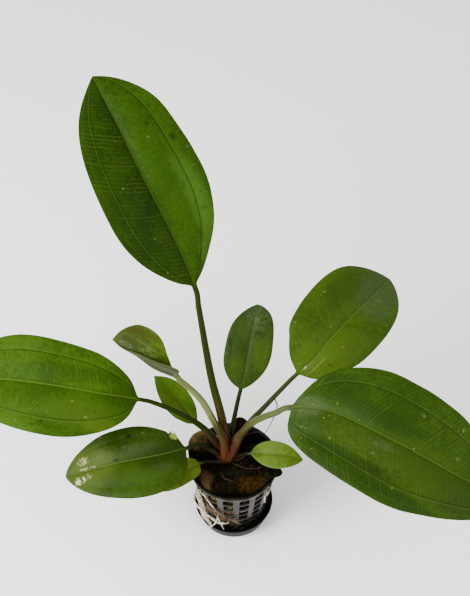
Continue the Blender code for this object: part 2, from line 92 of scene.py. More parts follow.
sky = bpy.data.worlds.new("light_tent")
sky.use_nodes = True
sky.node_tree.nodes["Background"].inputs["Color"].default_value = (1.0, 1.0, 1.0, 1.0)
sky.node_tree.nodes["Background"].inputs["Strength"].default_value = 1.4
bpy.context.scene.world = sky

# %% [markdown]
# ## A shape is a grid of points
#
# Every piece here is a surface with two parameters, such as the share of the way along a leaf and the share of
# the way across it. numpy works out all of its points at once, and one helper turns such a grid into faces. The
# grid closes on itself across, and a fan of triangles closes each end on one point.

# %% Grid to mesh
def grid_faces(rows, columns, closed):
    """Corner numbers of the squares between neighbours, with the last column joined to the first when closed."""
    row = np.arange(rows - 1)[:, None] * columns
    column = np.arange(columns if closed else columns - 1)[None, :]
    after = (column + 1) % columns
    return np.stack([row + column, row + after, row + columns + after, row + columns + column], -1).reshape(-1, 4)


def fan_faces(ring, pole, outwards):
    """Corner numbers of the triangles that close a ring of points on one pole."""
    after = np.roll(ring, -1)
    middle = np.full_like(ring, pole)
    return np.stack([ring, after, middle] if outwards else [after, ring, middle], -1)


def mesh_of(name, points, squares, triangles=None):
    """Mesh from an array of points in metres and arrays of corner numbers, all shaded smooth."""
    triangles = np.zeros((0, 3), int) if triangles is None else triangles
    corners = np.concatenate([squares.ravel(), triangles.ravel()]).astype(np.int32)
    sizes = np.concatenate([np.full(len(squares), 4), np.full(len(triangles), 3)])
    mesh = bpy.data.meshes.new(name)
    mesh.vertices.add(len(points))
    mesh.vertices.foreach_set("co", np.asarray(points, np.float32).ravel())
    mesh.loops.add(len(corners))
    mesh.loops.foreach_set("vertex_index", corners)
    mesh.polygons.add(len(sizes))
    starts = np.concatenate([[0], np.cumsum(sizes)[:-1]]).astype(np.int32)
    mesh.polygons.foreach_set("loop_start", starts)
    mesh.polygons.foreach_set("use_smooth", np.ones(len(sizes), bool))
    mesh.update(calc_edges=True)
    return mesh


def closed_skin(rings, first=None, last=None):
    """Points and faces of a stack of closed rings, rings[i, j] in metres, with both ends closed on a point."""
    rows, columns, _ = rings.shape
    first = rings[0].mean(0) if first is None else first
    last = rings[-1].mean(0) if last is None else last
    points = np.concatenate([rings.reshape(-1, 3), [first], [last]])
    low = fan_faces(np.arange(columns), rows * columns, outwards=False)
    high = fan_faces(np.arange(columns) + (rows - 1) * columns, rows * columns + 1, outwards=True)
    return points, grid_faces(rows, columns, closed=True), np.concatenate([low, high])


def closed_grid(name, rings, first=None, last=None):
    return mesh_of(name, *closed_skin(rings, first, last))


def write_attribute(mesh, name, values):
    """Stores one number for each point, which a material can read by name."""
    layer = mesh.attributes.new(name, "FLOAT", "POINT")
    layer.data.foreach_set("value", np.asarray(values, np.float32).ravel())


def add_piece(name, mesh, nodes, finish):
    """Puts a mesh into the scene as a piece that stands for the named solids."""
    piece = bpy.data.objects.new(name, mesh)
    bpy.context.scene.collection.objects.link(piece)
    mesh.materials.append(finish)
    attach(piece, "root")
    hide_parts(*nodes)
    print(f"{name}: {len(mesh.polygons)} faces")
    return piece


def smooth_noise(points, scale, seed):
    """Soft random value from -1 to 1 at each point: random numbers on a lattice, blended smoothly between."""
    table = np.random.default_rng(seed).uniform(-1.0, 1.0, 4096)
    p = np.asarray(points) / scale
    cell = np.floor(p).astype(int)
    part = p - cell
    part = part * part * (3 - 2 * part)
    total = np.zeros(p.shape[:-1])
    for corner in np.ndindex(2, 2, 2):
        c = cell + np.array(corner)
        weight = np.prod(np.where(np.array(corner) == 1, part, 1 - part), axis=-1)
        total += weight * table[(c[..., 0] * 73 + c[..., 1] * 179 + c[..., 2] * 283) % 4096]
    return total


def rough_noise(points, scale, seed, octaves=4):
    """Sum of smooth noises, each half as large and half as strong as the one before."""
    return sum(smooth_noise(points, scale / 2**k, seed + k) / 2**k for k in range(octaves))


def drift(points, scale, seed, apart):
    """A shift in each direction from three smooth noises."""
    return np.stack([smooth_noise(points + apart * k, scale, seed + k) for k in range(3)], -1)


# %% [markdown]
# ## Node materials
#
# A finish is a small network of nodes. Writing each node by hand takes many lines, so a short helper class adds
# nodes to one material and links them. Numbers that are the same all over are set on the shader itself.

# %% Material helper
class Finish:
    """One Principled material and short calls that add nodes to it."""

    def __init__(self, name, roughness, specular=0.5):
        self.material = bpy.data.materials.new(name)
        self.material.use_nodes = True
        self.tree = self.material.node_tree
        self.shader = self.tree.nodes["Principled BSDF"]
        self.shader.inputs["Roughness"].default_value = roughness
        self.shader.inputs["Specular IOR Level"].default_value = specular

    def node(self, kind, *values, **settings):
        """Adds a node, sets its options and puts the values into its first sockets."""
        made = self.tree.nodes.new(kind)
        for key, value in settings.items():
            setattr(made, key, value)
        for socket, value in zip(made.inputs, values):
            self.put(socket, value)
        return made

    def put(self, socket, value):
        """Links an output, or sets a plain value."""
        if isinstance(value, bpy.types.NodeSocket):
            self.tree.links.new(value, socket)
        elif isinstance(value, tuple) and len(value) == 3 and socket.type == "RGBA":
            socket.default_value = (*value, 1.0)
        else:
            socket.default_value = value

    def set(self, **inputs):
        for key, value in inputs.items():
            self.put(self.shader.inputs[key.replace("_", " ")], value)

    def read(self, name):
        return self.node("ShaderNodeAttribute", attribute_name=name).outputs["Fac"]

    def place(self):
        return self.node("ShaderNodeTexCoord").outputs["Object"]

    def place_mm(self):
        """X, Y and Z of the point in mm."""
        return [self.times(value, 1000.0) for value in self.node("ShaderNodeSeparateXYZ", self.place()).outputs]

    def math(self, operation, a, b=0.0, c=0.0):
        return self.node("ShaderNodeMath", a, b, c, operation=operation).outputs[0]

    def times(self, product, *factors):
        for factor in factors:
            product = self.math("MULTIPLY", product, factor)
        return product

    def plus(self, total, *terms):
        for term in terms:
            total = self.math("ADD", total, term)
        return total

    def minus(self, a, b):
        return self.math("SUBTRACT", a, b)

    def mix(self, factor, a, b, blend="MIX"):
        made = self.node("ShaderNodeMix", data_type="RGBA", blend_type=blend)
        self.put(made.inputs["Factor"], factor)
        self.put(made.inputs[6], a)
        self.put(made.inputs[7], b)
        return made.outputs[2]

    def step(self, value, low, high, a=0.0, b=1.0):
        """Value from a to b as the input goes from low to high, smooth at both ends."""
        return self.node("ShaderNodeMapRange", value, low, high, a, b, interpolation_type="SMOOTHSTEP").outputs[0]

    def noise(self, scale, detail=4.0, roughness=0.5, vector=None, distortion=0.0):
        made = self.node("ShaderNodeTexNoise")
        self.put(made.inputs["Vector"], self.place() if vector is None else vector)
        for key, value in (("Scale", scale), ("Detail", detail), ("Roughness", roughness), ("Distortion", distortion)):
            made.inputs[key].default_value = value
        return made.outputs["Fac"]

    def cells(self, scale, feature="F1"):
        made = self.node("ShaderNodeTexVoronoi", self.place(), feature=feature)
        made.inputs["Scale"].default_value = scale
        return made.outputs["Distance"]

    def vector(self, x, y, z=0.0):
        return self.node("ShaderNodeCombineXYZ", x, y, z).outputs[0]

    def random(self, value):
        """A fixed random number from 0 to 1 for each whole number."""
        made = self.node("ShaderNodeTexWhiteNoise", noise_dimensions="1D")
        self.put(made.inputs["W"], value)
        return made.outputs["Value"]

    def patch(self, where, size, soft=0.5, ragged=0.35):
        """Mask of a ragged oval: where holds pairs of (value, middle) and size the half widths, all in mm."""
        total = 0.0
        for (value, middle), half in zip(where, size):
            part = self.math("DIVIDE", self.minus(value, middle), half)
            total = self.math("MULTIPLY_ADD", part, part, total)
        uneven = self.minus(self.noise(2000.0 / max(size), 5.0, 0.65), 0.5)
        return self.step(self.math("MULTIPLY_ADD", uneven, 4.0 * ragged, total), 1.0, 1.0 - soft)

    def bump(self, height, distance, strength=1.0):
        made = self.node("ShaderNodeBump")
        for key, value in (("Strength", strength), ("Distance", distance), ("Height", height)):
            self.put(made.inputs[key], value)
        return made.outputs["Normal"]


# %% [markdown]
# ## Floor
#
# The object stands on plain white paper. A flat disc is enough, because nothing of it shows but a soft shadow. It
# still gets a faint grain.

# %% Floor
paper = Finish("white_paper", 0.9, 0.2)
paper.set(Base_Color=paper.mix(paper.noise(900.0), (0.9, 0.9, 0.895), (0.93, 0.93, 0.925)))
turn = np.linspace(0, 2 * np.pi, 64, endpoint=False)
disc = np.stack([3.0 * np.cos(turn), 3.0 * np.sin(turn), np.zeros_like(turn)], -1)
disc = np.concatenate([disc, [[0.0, 0.0, 0.0]]])
floor = bpy.data.objects.new("floor", mesh_of("floor", disc, np.zeros((0, 4), int), fan_faces(np.arange(64), 64, True)))
floor.data.materials.append(paper.material)
bpy.context.scene.collection.objects.link(floor)
print("floor faces:", len(floor.data.polygons))

# %% [markdown]
# ## Saucer
#
# The saucer is a shallow dish of black plastic with a thin flaring wall. It is a surface of revolution: a profile
# of radius and height, turned round Z. The profile runs out under the foot, up the outside, over a rounded rim and
# down the inside to the middle, so the outside faces outwards.

# %% Profile helper
def rounded_profile(corners, steps=6):
    """Profile with each corner rounded: corners are (radius, height, fillet) in mm. A corner is replaced by
    a quadratic Bezier arc whose ends lie one fillet from it along its two edges."""
    pts = np.array([c[:2] for c in corners], float)
    out = [pts[0]]
    t = np.linspace(0, 1, steps)[:, None]
    for before, here, after, (_, _, fillet) in zip(pts, pts[1:], pts[2:], corners[1:-1]):
        back = (before - here) / np.linalg.norm(before - here)
        ahead = (after - here) / np.linalg.norm(after - here)
        a, b = here + back * fillet, here + ahead * fillet
        out.extend((1 - t) ** 2 * a + 2 * t * (1 - t) * here + t**2 * b)
    out.append(pts[-1])
    return np.array(out)


def turned_rings(profile, steps):
    """Rings of points in metres: the profile's radius and height carried round Z."""
    turn = np.linspace(0, 2 * np.pi, steps, endpoint=False)
    radius, height = profile[:, 0, None], profile[:, 1, None]
    return np.stack([radius * np.cos(turn), radius * np.sin(turn), height + 0 * turn], -1) * MM


# %% Saucer
saucer_profile = rounded_profile([
    (0.5, 0.0, 0), (18.3, 0.0, 0.3), (19.5, 0.9, 0.6), (22.4, 11.3, 0.3), (22.3, 11.5, 0.15), (21.4, 11.5, 0.2),
    (21.1, 11.1, 0.3), (17.8, 1.5, 0.8), (0.5, 1.5, 0),
])
saucer_mesh = closed_grid("saucer", turned_rings(saucer_profile, 160))

black = Finish("saucer_black", 0.34, 0.02)
scuff = black.step(black.noise(260.0, 6.0, 0.65), 0.52, 0.75)
dust = black.step(black.noise(1500.0, 3.0), 0.45, 0.8)
black.set(Base_Color=black.mix(scuff, (0.004, 0.004, 0.003), (0.011, 0.011, 0.008)),
          Roughness=black.math("MULTIPLY_ADD", dust, 0.22, 0.36),
          Normal=black.bump(black.noise(700.0, 5.0), 0.00012, 0.6))
add_piece("saucer_dish", saucer_mesh, ["saucer"], black.material)

# %% [markdown]
# ## Net pot
#
# The pot is one moulded wall with rows of slots. A wall with holes is easy to make from a grid: work out the wall
# as one sheet, from the middle of the floor out and up to the rim, with grid lines on the edges of every slot.
# Then leave out the squares of the slots. Solidify gives the sheet its thickness, and a small bevel softens the
# moulded edges. Boolean cuts would give the same holes with untidy faces.

# %% Net pot measures
POT_FOOT_Z, POT_RIM_Z = 1.8, 52.0
POT_TOP_RADIUS, POT_BASE_RADIUS, POT_WALL = 24.3, 17.4, 1.0
SLOT_COLUMNS, SLOT_AZIMUTH, SLOT_ANGLE = 16, -7.4, 13.7
SLOT_ROWS, SLOT_HEIGHT = (44.8, 37.8, 30.8, 23.8, 16.8, 9.8), 5.6


def pot_radius(z):
    """Outer radius of the tapered wall at a height, both in mm."""
    return POT_BASE_RADIUS + (POT_TOP_RADIUS - POT_BASE_RADIUS) * (z - POT_FOOT_Z) / (POT_RIM_Z - POT_FOOT_Z)


# %% Net pot sheet
slot_edges = np.array([-0.5, -0.25, 0.0, 0.25, 0.5]) * SLOT_ANGLE
rib_lines = 0.5 * SLOT_ANGLE + np.array([2.9, 5.9])
column_lines = np.concatenate([slot_edges, rib_lines])
azimuth = np.concatenate([SLOT_AZIMUTH + 360 / SLOT_COLUMNS * k + column_lines for k in range(SLOT_COLUMNS)])
across_slot = np.tile(np.array([1, 1, 1, 1, 0, 0, 0], bool), SLOT_COLUMNS)

floor_r = np.array([2.0, 5.0, 6.7, 8.4, 10.1, 12.0, 15.0])
slots_z = np.sort(np.concatenate([[z - SLOT_HEIGHT / 2, z + SLOT_HEIGHT / 2] for z in SLOT_ROWS]))
wall_foot_z = [2.1, 3.2, 5.0]
wall_z = np.concatenate([wall_foot_z, slots_z, [50.6]])
lip = np.array([(24.2, 50.8), (24.55, 50.9), (24.85, 51.1), (24.85, 51.8), (24.65, 52.0)])
sheet_r = np.concatenate([floor_r, [POT_BASE_RADIUS - 0.2], pot_radius(wall_z), lip[:, 0]])
sheet_z = np.concatenate([np.full(len(floor_r), POT_FOOT_Z), [POT_FOOT_Z], wall_z, lip[:, 1]])

bearing = np.radians(azimuth)
sheet = np.stack([sheet_r[:, None] * np.sin(bearing), -sheet_r[:, None] * np.cos(bearing),
                  sheet_z[:, None] + 0 * bearing], -1) * MM
squares = grid_faces(*sheet.shape[:2], closed=True).reshape(len(sheet_r) - 1, len(azimuth), 4)

first_slot = len(floor_r) + 1 + len(wall_foot_z)
open_rows = np.zeros(len(sheet_r) - 1, bool)
open_rows[first_slot : first_slot + 2 * len(SLOT_ROWS) : 2] = True
floor_open = np.zeros_like(open_rows)
floor_open[1:5] = True
every_second = np.repeat(np.arange(SLOT_COLUMNS) % 2 == 0, len(column_lines))
keep = ~(open_rows[:, None] & across_slot[None, :]) & ~(floor_open[:, None] & (across_slot & every_second)[None, :])
middle = len(sheet_r) * len(azimuth)
pot_points = np.concatenate([sheet.reshape(-1, 3), [[0.0, 0.0, POT_FOOT_Z * MM]]])
pot_mesh = mesh_of("net_pot", pot_points, squares[keep], fan_faces(np.arange(len(azimuth)), middle, False))
print("slots left open:", int((~keep).sum()), "squares")

# %% Net pot finish
net = Finish("net_pot_black", 0.2, 0.06)
haze = net.step(net.noise(160.0, 6.0, 0.7), 0.35, 0.7)
lime = net.step(net.noise(1100.0, 6.0, 0.8), 0.62, 0.78)
net_colour = net.mix(haze, (0.006, 0.0055, 0.0036), (0.03, 0.028, 0.018))
net.set(Base_Color=net.mix(net.times(lime, 0.25), net_colour, (0.07, 0.065, 0.045)),
        Roughness=net.math("MULTIPLY_ADD", haze, 0.12, 0.17),
        Normal=net.bump(net.noise(900.0, 6.0, 0.7), 0.00008, 0.5))
net_pot = add_piece("pot_net", pot_mesh, ["net_pot"], net.material)
wall = net_pot.modifiers.new("wall", "SOLIDIFY")
wall.thickness = POT_WALL * MM
wall.offset = -1.0
soft_edges = net_pot.modifiers.new("moulded_edges", "BEVEL")
soft_edges.width = 0.16 * MM
soft_edges.segments = 2
soft_edges.limit_method = "ANGLE"
soft_edges.angle_limit = math.radians(50)
print("pot wall in mm:", POT_WALL)

# %% [markdown]
# ## Rockwool
#
# The plug is damp mineral wool, brown with algae and broken at the top. Its body is a stack of rings: up the side
# of the pot, over the edge and in to the middle. The height of the top is a level with a few listed lumps
# and hollows. Noise makes it ragged: soft noise for the crumbs, and the folded kind, one minus its size, for sharp
# creases between them. Where the top is broken away, a thin skin of wool still clings to the pot's wall.

# %% Rockwool measures
WOOL_TOP_Z, WOOL_EDGE_RADIUS, WOOL_SKIN_Z = 52.8, 21.8, 50.5
CROWN_CENTRE, CROWN_SEAT_Z = (-4.0, 0.0, 57.0), 54.6
WOOL_LUMPS = (
    (2.0, -14.0, 20.0, 8.0, 2.8), (0.0, -22.8, 17.0, 2.6, -13.0), (23.0, -9.0, 5.0, 4.5, 1.8),
    (-18.5, 11.0, 7.5, 11.0, 6.5), (2.2, 22.5, 3.0, 3.2, 5.2), (7.0, 22.5, 3.0, 3.2, 5.0), (13.0, 10.0, 9.0, 8.0, -15.0),
)
WOOL_CORNERS = ((69.0, 12.0, 6.4), (-108.0, 24.0, 4.2), (168.0, 13.0, 3.6))


def wool_height(x, y):
    """Height of the top in mm: a level plus bell shaped lumps, kept under a cone that rises from the crown's seat."""
    level = WOOL_TOP_Z + sum(h * np.exp(-(((x - cx) / rx) ** 2) - ((y - cy) / ry) ** 2)
                             for cx, cy, rx, ry, h in WOOL_LUMPS)
    from_crown = np.hypot(x - CROWN_CENTRE[0], y - CROWN_CENTRE[1])
    return np.minimum(level, CROWN_SEAT_Z - 0.3 + 0.6 * np.maximum(from_crown - 9.0, 0.0))


def crumbly(points):
    """Push at each point, in mm: soft noise for crumbs and folded noise for creases."""
    crumbs = rough_noise(points, 5.5, 11, 4)
    creases = sum(s * (0.35 - np.abs(smooth_noise(points, scale, seed))) for scale, s, seed in
                  ((3.4, 1.5, 31), (1.7, 0.9, 32), (0.85, 0.45, 33)))
    return crumbs * 0.9 + creases


# %% Rockwool surface
WOOL_SIDE_STEPS = 60


def wool_surface(turn_steps=400, side_steps=WOOL_SIDE_STEPS, top_steps=150):
    """Rings from the foot up the side and over the top. The top runs from its edge, which reaches out over the
    rim at three corners, in to the middle."""
    turn = np.linspace(0, 2 * np.pi, turn_steps, endpoint=False)
    bearing = (np.degrees(turn) + 90.0 + 180.0) % 360.0 - 180.0
    edge = wool_height(WOOL_EDGE_RADIUS * np.cos(turn), WOOL_EDGE_RADIUS * np.sin(turn))
    over = np.zeros_like(turn)
    for middle, spread, reach in WOOL_CORNERS:
        off = (bearing - middle + 180.0) % 360.0 - 180.0
        over = np.maximum(over, reach * np.exp(-((off / spread) ** 2)))
    over *= np.clip((edge - WOOL_TOP_Z) / 0.5, 0, 1)
    up = np.linspace(0, 1, side_steps)[:, None]
    side_top = np.maximum(np.minimum(POT_RIM_Z + 0.4, edge - 0.3), WOOL_SKIN_Z - 0.6)
    side_z = 3.6 + (side_top - 3.6) * up
    side_r = pot_radius(np.minimum(side_z, POT_RIM_Z)) - POT_WALL - 0.15 - 2.0 * np.exp(-up * 40)
    inwards = np.linspace(1, 0.01, top_steps)[:, None]
    top_r = WOOL_EDGE_RADIUS * inwards
    top_z = wool_height(top_r * np.cos(turn), top_r * np.sin(turn))
    clinging = np.clip((inwards - 0.965) / 0.025, 0, 1)
    top_z = top_z + clinging * np.maximum(WOOL_SKIN_Z - top_z, 0)
    top_r = top_r + over * np.clip((inwards - 0.8) / 0.2, 0, 1)
    radius, height = np.concatenate([side_r, top_r]), np.concatenate([side_z, top_z])
    points = np.stack([radius * np.cos(turn), radius * np.sin(turn), height], -1)
    on_top = (np.arange(len(points)) >= side_steps)[:, None]
    clear_of_crown = np.clip((np.hypot(points[..., 0] - CROWN_CENTRE[0], points[..., 1]) - 5) / 4, 0.15, 1)
    held = np.concatenate([0.35 + 0 * side_r, 1 - 0.8 * clinging + 0 * top_r])
    push = crumbly(points) * held * np.clip((radius - 0.5) / 3, 0, 1) * clear_of_crown
    points[..., 2] += np.where(on_top, push, 0)
    swell = np.where(on_top, push * 0.55, -np.abs(push)) / np.maximum(radius, 3)
    points[..., :2] *= (1 + swell)[..., None]
    return points


wool_points = wool_surface()
wool_mesh = closed_grid("rockwool", wool_points * MM)
on_side = np.broadcast_to(np.arange(len(wool_points))[:, None] < WOOL_SIDE_STEPS, wool_points.shape[:2])
write_attribute(wool_mesh, "side", np.append(on_side, [1, 0]))
top_z = wool_points[WOOL_SIDE_STEPS:, :, 2]
print("wool top from", round(float(top_z.min()), 1), "to", round(float(top_z.max()), 1), "mm")

# %% [markdown]
# ### Rockwool colours
#
# The top is nearly black where it is wet, rusty at the front right and tan on the lump at the left. Below the rim
# it is darkened almost to black by painted shade. Green algae grows in patches. Behind the slots the wool is still
# pale and pinkish, because no algae grows in the dark.

# %% Rockwool finish
wool = Finish("rockwool_brown", 0.85, 0.04)
x_mm, y_mm, z_mm = wool.place_mm()
streaks = wool.node("ShaderNodeMapping")
streaks.inputs["Scale"].default_value = (1.0, 1.0, 0.35)
wool.put(streaks.inputs["Vector"], wool.place())
fibre = wool.noise(1100.0, 8.0, 0.78, streaks.outputs[0], 0.8)
patch = wool.noise(160.0, 5.0, 0.65)


def wool_patch(base, middle, size, low, high, amount=1.0):
    """Lays a ragged patch with fibres of two colours over the wool."""
    mask = wool.patch(tuple(zip((x_mm, y_mm, z_mm), middle)), size, 0.9, 0.45)
    tone = wool.mix(wool.step(fibre, 0.38, 0.62), low, high)
    return wool.mix(wool.times(mask, amount), base, tone)


wool_colour = wool.mix(wool.step(fibre, 0.38, 0.66), (0.0008, 0.0006, 0.0002), (0.0066, 0.0046, 0.0007))
wool_colour = wool.mix(wool.step(patch, 0.52, 0.66), wool_colour, (0.011, 0.006, 0.0008))
wool_colour = wool.mix(wool.step(wool.noise(230.0, 4.0), 0.6, 0.7), wool_colour, (0.005, 0.009, 0.0012))
TOP_PATCHES = (
    ((10, -16, 55), (11, 6, 9), (0.006, 0.0026, 0.0005), (0.052, 0.023, 0.003), 0.75),
    ((-14.5, -13.5, 54), (4.4, 8, 8), (0.012, 0.007, 0.0025), (0.095, 0.056, 0.02), 0.95),
    ((-19.5, 13, 60), (9, 10.5, 10), (0.046, 0.026, 0.009), (0.28, 0.168, 0.06), 1.0),
    ((-16, 9, 60), (6, 5, 8), (0.01, 0.012, 0.002), (0.045, 0.045, 0.008), 0.6),
    ((1, -9, 55), (7, 3, 8), (0.001, 0.002, 0.0005), (0.008, 0.016, 0.004), 0.8),
)
for place in TOP_PATCHES:
    wool_colour = wool_patch(wool_colour, *place)

# Painted shade: the wool is darkened almost to black where it lies below the rim.
in_shade = wool.times(wool.step(z_mm, 51.6, 49.6), 0.9)
wool_colour = wool.mix(in_shade, wool_colour, (0.0007, 0.0005, 0.0002))
wool_colour = wool_patch(wool_colour, (13, 10, 42), (8, 7, 12), (0.012, 0.009, 0.0025), (0.1, 0.08, 0.025), 0.9)

side_colour = wool.mix(wool.step(fibre, 0.4, 0.66), (0.0015, 0.001, 0.0004), (0.014, 0.009, 0.004))
SIDE_PATCHES = (
    ((-10.9, -18.6, 40), (3.6, 3.0, 5.5), (0.11, 0.056, 0.01), (0.24, 0.14, 0.036), 1.0),
    ((-8.0, -18.2, 27), (4.6, 4.0, 5.5), (0.055, 0.027, 0.015), (0.15, 0.08, 0.048), 0.95),
    ((-1.8, -21.8, 45.6), (3.4, 3.0, 1.6), (0.03, 0.014, 0.006), (0.1, 0.054, 0.026), 1.0),
    ((-1.8, -21.2, 38.6), (3.2, 3.0, 2.2), (0.075, 0.038, 0.018), (0.2, 0.115, 0.06), 1.0),
    ((-1.6, -20.6, 34), (3.0, 3.0, 2.4), (0.13, 0.09, 0.022), (0.27, 0.2, 0.066), 1.0),
    ((-2.6, -19.8, 28.4), (3.4, 3.0, 2.4), (0.07, 0.034, 0.022), (0.18, 0.098, 0.064), 0.9),
    ((-2.6, -19.0, 22), (3.0, 3.0, 2.0), (0.02, 0.01, 0.006), (0.09, 0.05, 0.034), 0.7),
    ((7.0, -21.0, 45.4), (3.6, 3.0, 2.2), (0.075, 0.034, 0.018), (0.19, 0.095, 0.052), 1.0),
    ((6.2, -19.2, 30.4), (3.6, 3.0, 2.4), (0.085, 0.046, 0.028), (0.22, 0.128, 0.08), 1.0),
    ((13.2, -17.2, 43), (3.2, 3.0, 3.4), (0.045, 0.021, 0.013), (0.15, 0.072, 0.046), 0.9),
    ((18.6, -11.8, 42), (3.0, 4.0, 6.0), (0.07, 0.04, 0.014), (0.2, 0.13, 0.06), 0.9),
    ((-18.0, -12.0, 40), (5.0, 6.0, 9.0), (0.04, 0.026, 0.01), (0.15, 0.11, 0.05), 0.8),
)
for place in SIDE_PATCHES:
    side_colour = wool_patch(side_colour, *place)
low_on_side = wool.times(wool.read("side"), wool.step(z_mm, 50.0, 48.8))
wool_colour = wool.mix(low_on_side, wool_colour, side_colour)
wool.set(Base_Color=wool_colour, Normal=wool.bump(fibre, 0.0006, 1.0))
add_piece("wool_plug", wool_mesh, ["rockwool"], wool.material)

# %% [markdown]
# ### Fibres and threads
#
# Real wool is a mat of fibres. Short curved tubes with three sides start on the surface and lean over it. Each
# path is its start, plus its direction times the distance, plus a bend that grows with the distance squared. All
# tubes come out of one array of paths.

# %% Many tubes at once
def unit(vectors):
    return vectors / np.linalg.norm(vectors, axis=-1, keepdims=True)


def circles(paths, radius, turn):
    """A circle square to the path at each of its points. Its frame starts from one fixed slanting direction."""
    tangent = unit(np.gradient(paths, axis=-2))
    side = unit(np.cross(tangent, np.array([0.31, 0.17, 0.93])))
    normal = np.cross(side, tangent)
    turn = turn[:, None]
    circle = side[..., None, :] * np.cos(turn) - normal[..., None, :] * np.sin(turn)
    return paths[..., None, :] + radius[..., None, None] * circle


def many_tubes(name, paths, radius, sides=3):
    """Mesh of closed tubes: paths[i, j] are points in mm, radius[i, j] the radius there, and each end is a fan."""
    count, steps, _ = paths.shape
    rings = circles(paths, radius, np.linspace(0, 2 * np.pi, sides, endpoint=False))
    points = np.concatenate([rings.reshape(count, -1, 3), paths[:, :1], paths[:, -1:]], axis=1)
    per_tube = steps * sides + 2
    start = (np.arange(count) * per_tube)[:, None, None]
    ring = np.arange(sides)
    squares = (grid_faces(steps, sides, True)[None] + start).reshape(-1, 4)
    low, high = fan_faces(ring, per_tube - 2, False), fan_faces(ring + (steps - 1) * sides, per_tube - 1, True)
    triangles = (np.concatenate([low, high])[None] + start).reshape(-1, 3)
    return mesh_of(name, points.reshape(-1, 3) * MM, squares, triangles)


def tufts(starts, outwards, length, radius, steps, seed):
    """Paths and radii of short hairs that leave the surface and bend over."""
    rng = np.random.default_rng(seed)
    count = len(starts)
    lean = unit(outwards + rng.normal(0, 0.9, (count, 3)))
    bend = rng.normal(0, 0.45, (count, 3)) + np.array([0, 0, -0.35])
    run = np.linspace(0, 1, steps)[None, :, None]
    size = (length * rng.uniform(0.35, 1.0, count) ** 1.5)[:, None, None]
    paths = starts[:, None] + size * (lean[:, None] * run + bend[:, None] * run**2)
    girth = radius * rng.uniform(0.6, 1.3, count)[:, None] * (1 - 0.75 * run[..., 0])
    return paths, girth


# %% Wool fibres
WOOL_FIBRES = 1500

rng = np.random.default_rng(5)
row = rng.integers(WOOL_SIDE_STEPS + 2, 195, WOOL_FIBRES)
column = rng.integers(0, wool_points.shape[1], WOOL_FIBRES)
starts = wool_points[row, column]
open_air = np.hypot(starts[:, 0] - CROWN_CENTRE[0], starts[:, 1]) > 6.5
starts = starts[open_air]
outwards = unit(np.stack([starts[:, 0] / 40, starts[:, 1] / 40, np.full(len(starts), 0.8)], -1))
fibre_paths, fibre_girth = tufts(starts, outwards, 2.4, 0.075, 5, 6)
straw = Finish("wool_fibre", 0.8, 0.1)
straw_tone = straw.noise(240.0, 3.0)
straw.set(Base_Color=straw.mix(straw.step(straw_tone, 0.42, 0.62), (0.008, 0.005, 0.001), (0.055, 0.03, 0.006)))
add_piece("wool_fibres", many_tubes("wool_fibres", fibre_paths, fibre_girth), ["rockwool"], straw.material)

# %% [markdown]
# ## Leaves
#
# All leaves share one formula, and each has its own measures. A route runs from the crown to the tip. At each
# station the cross section is an arc that leaves the midrib at an angle and bends back towards the margin, so the
# blade is a shallow trough. The half width grows and shrinks as share^base * (1 - share)^tip. The stalk is the
# same section with the blade narrowed to nothing. Strong side veins crease the blade, and the fine slanting veins
# between them come from the material, which reads the distances that are stored on the mesh.

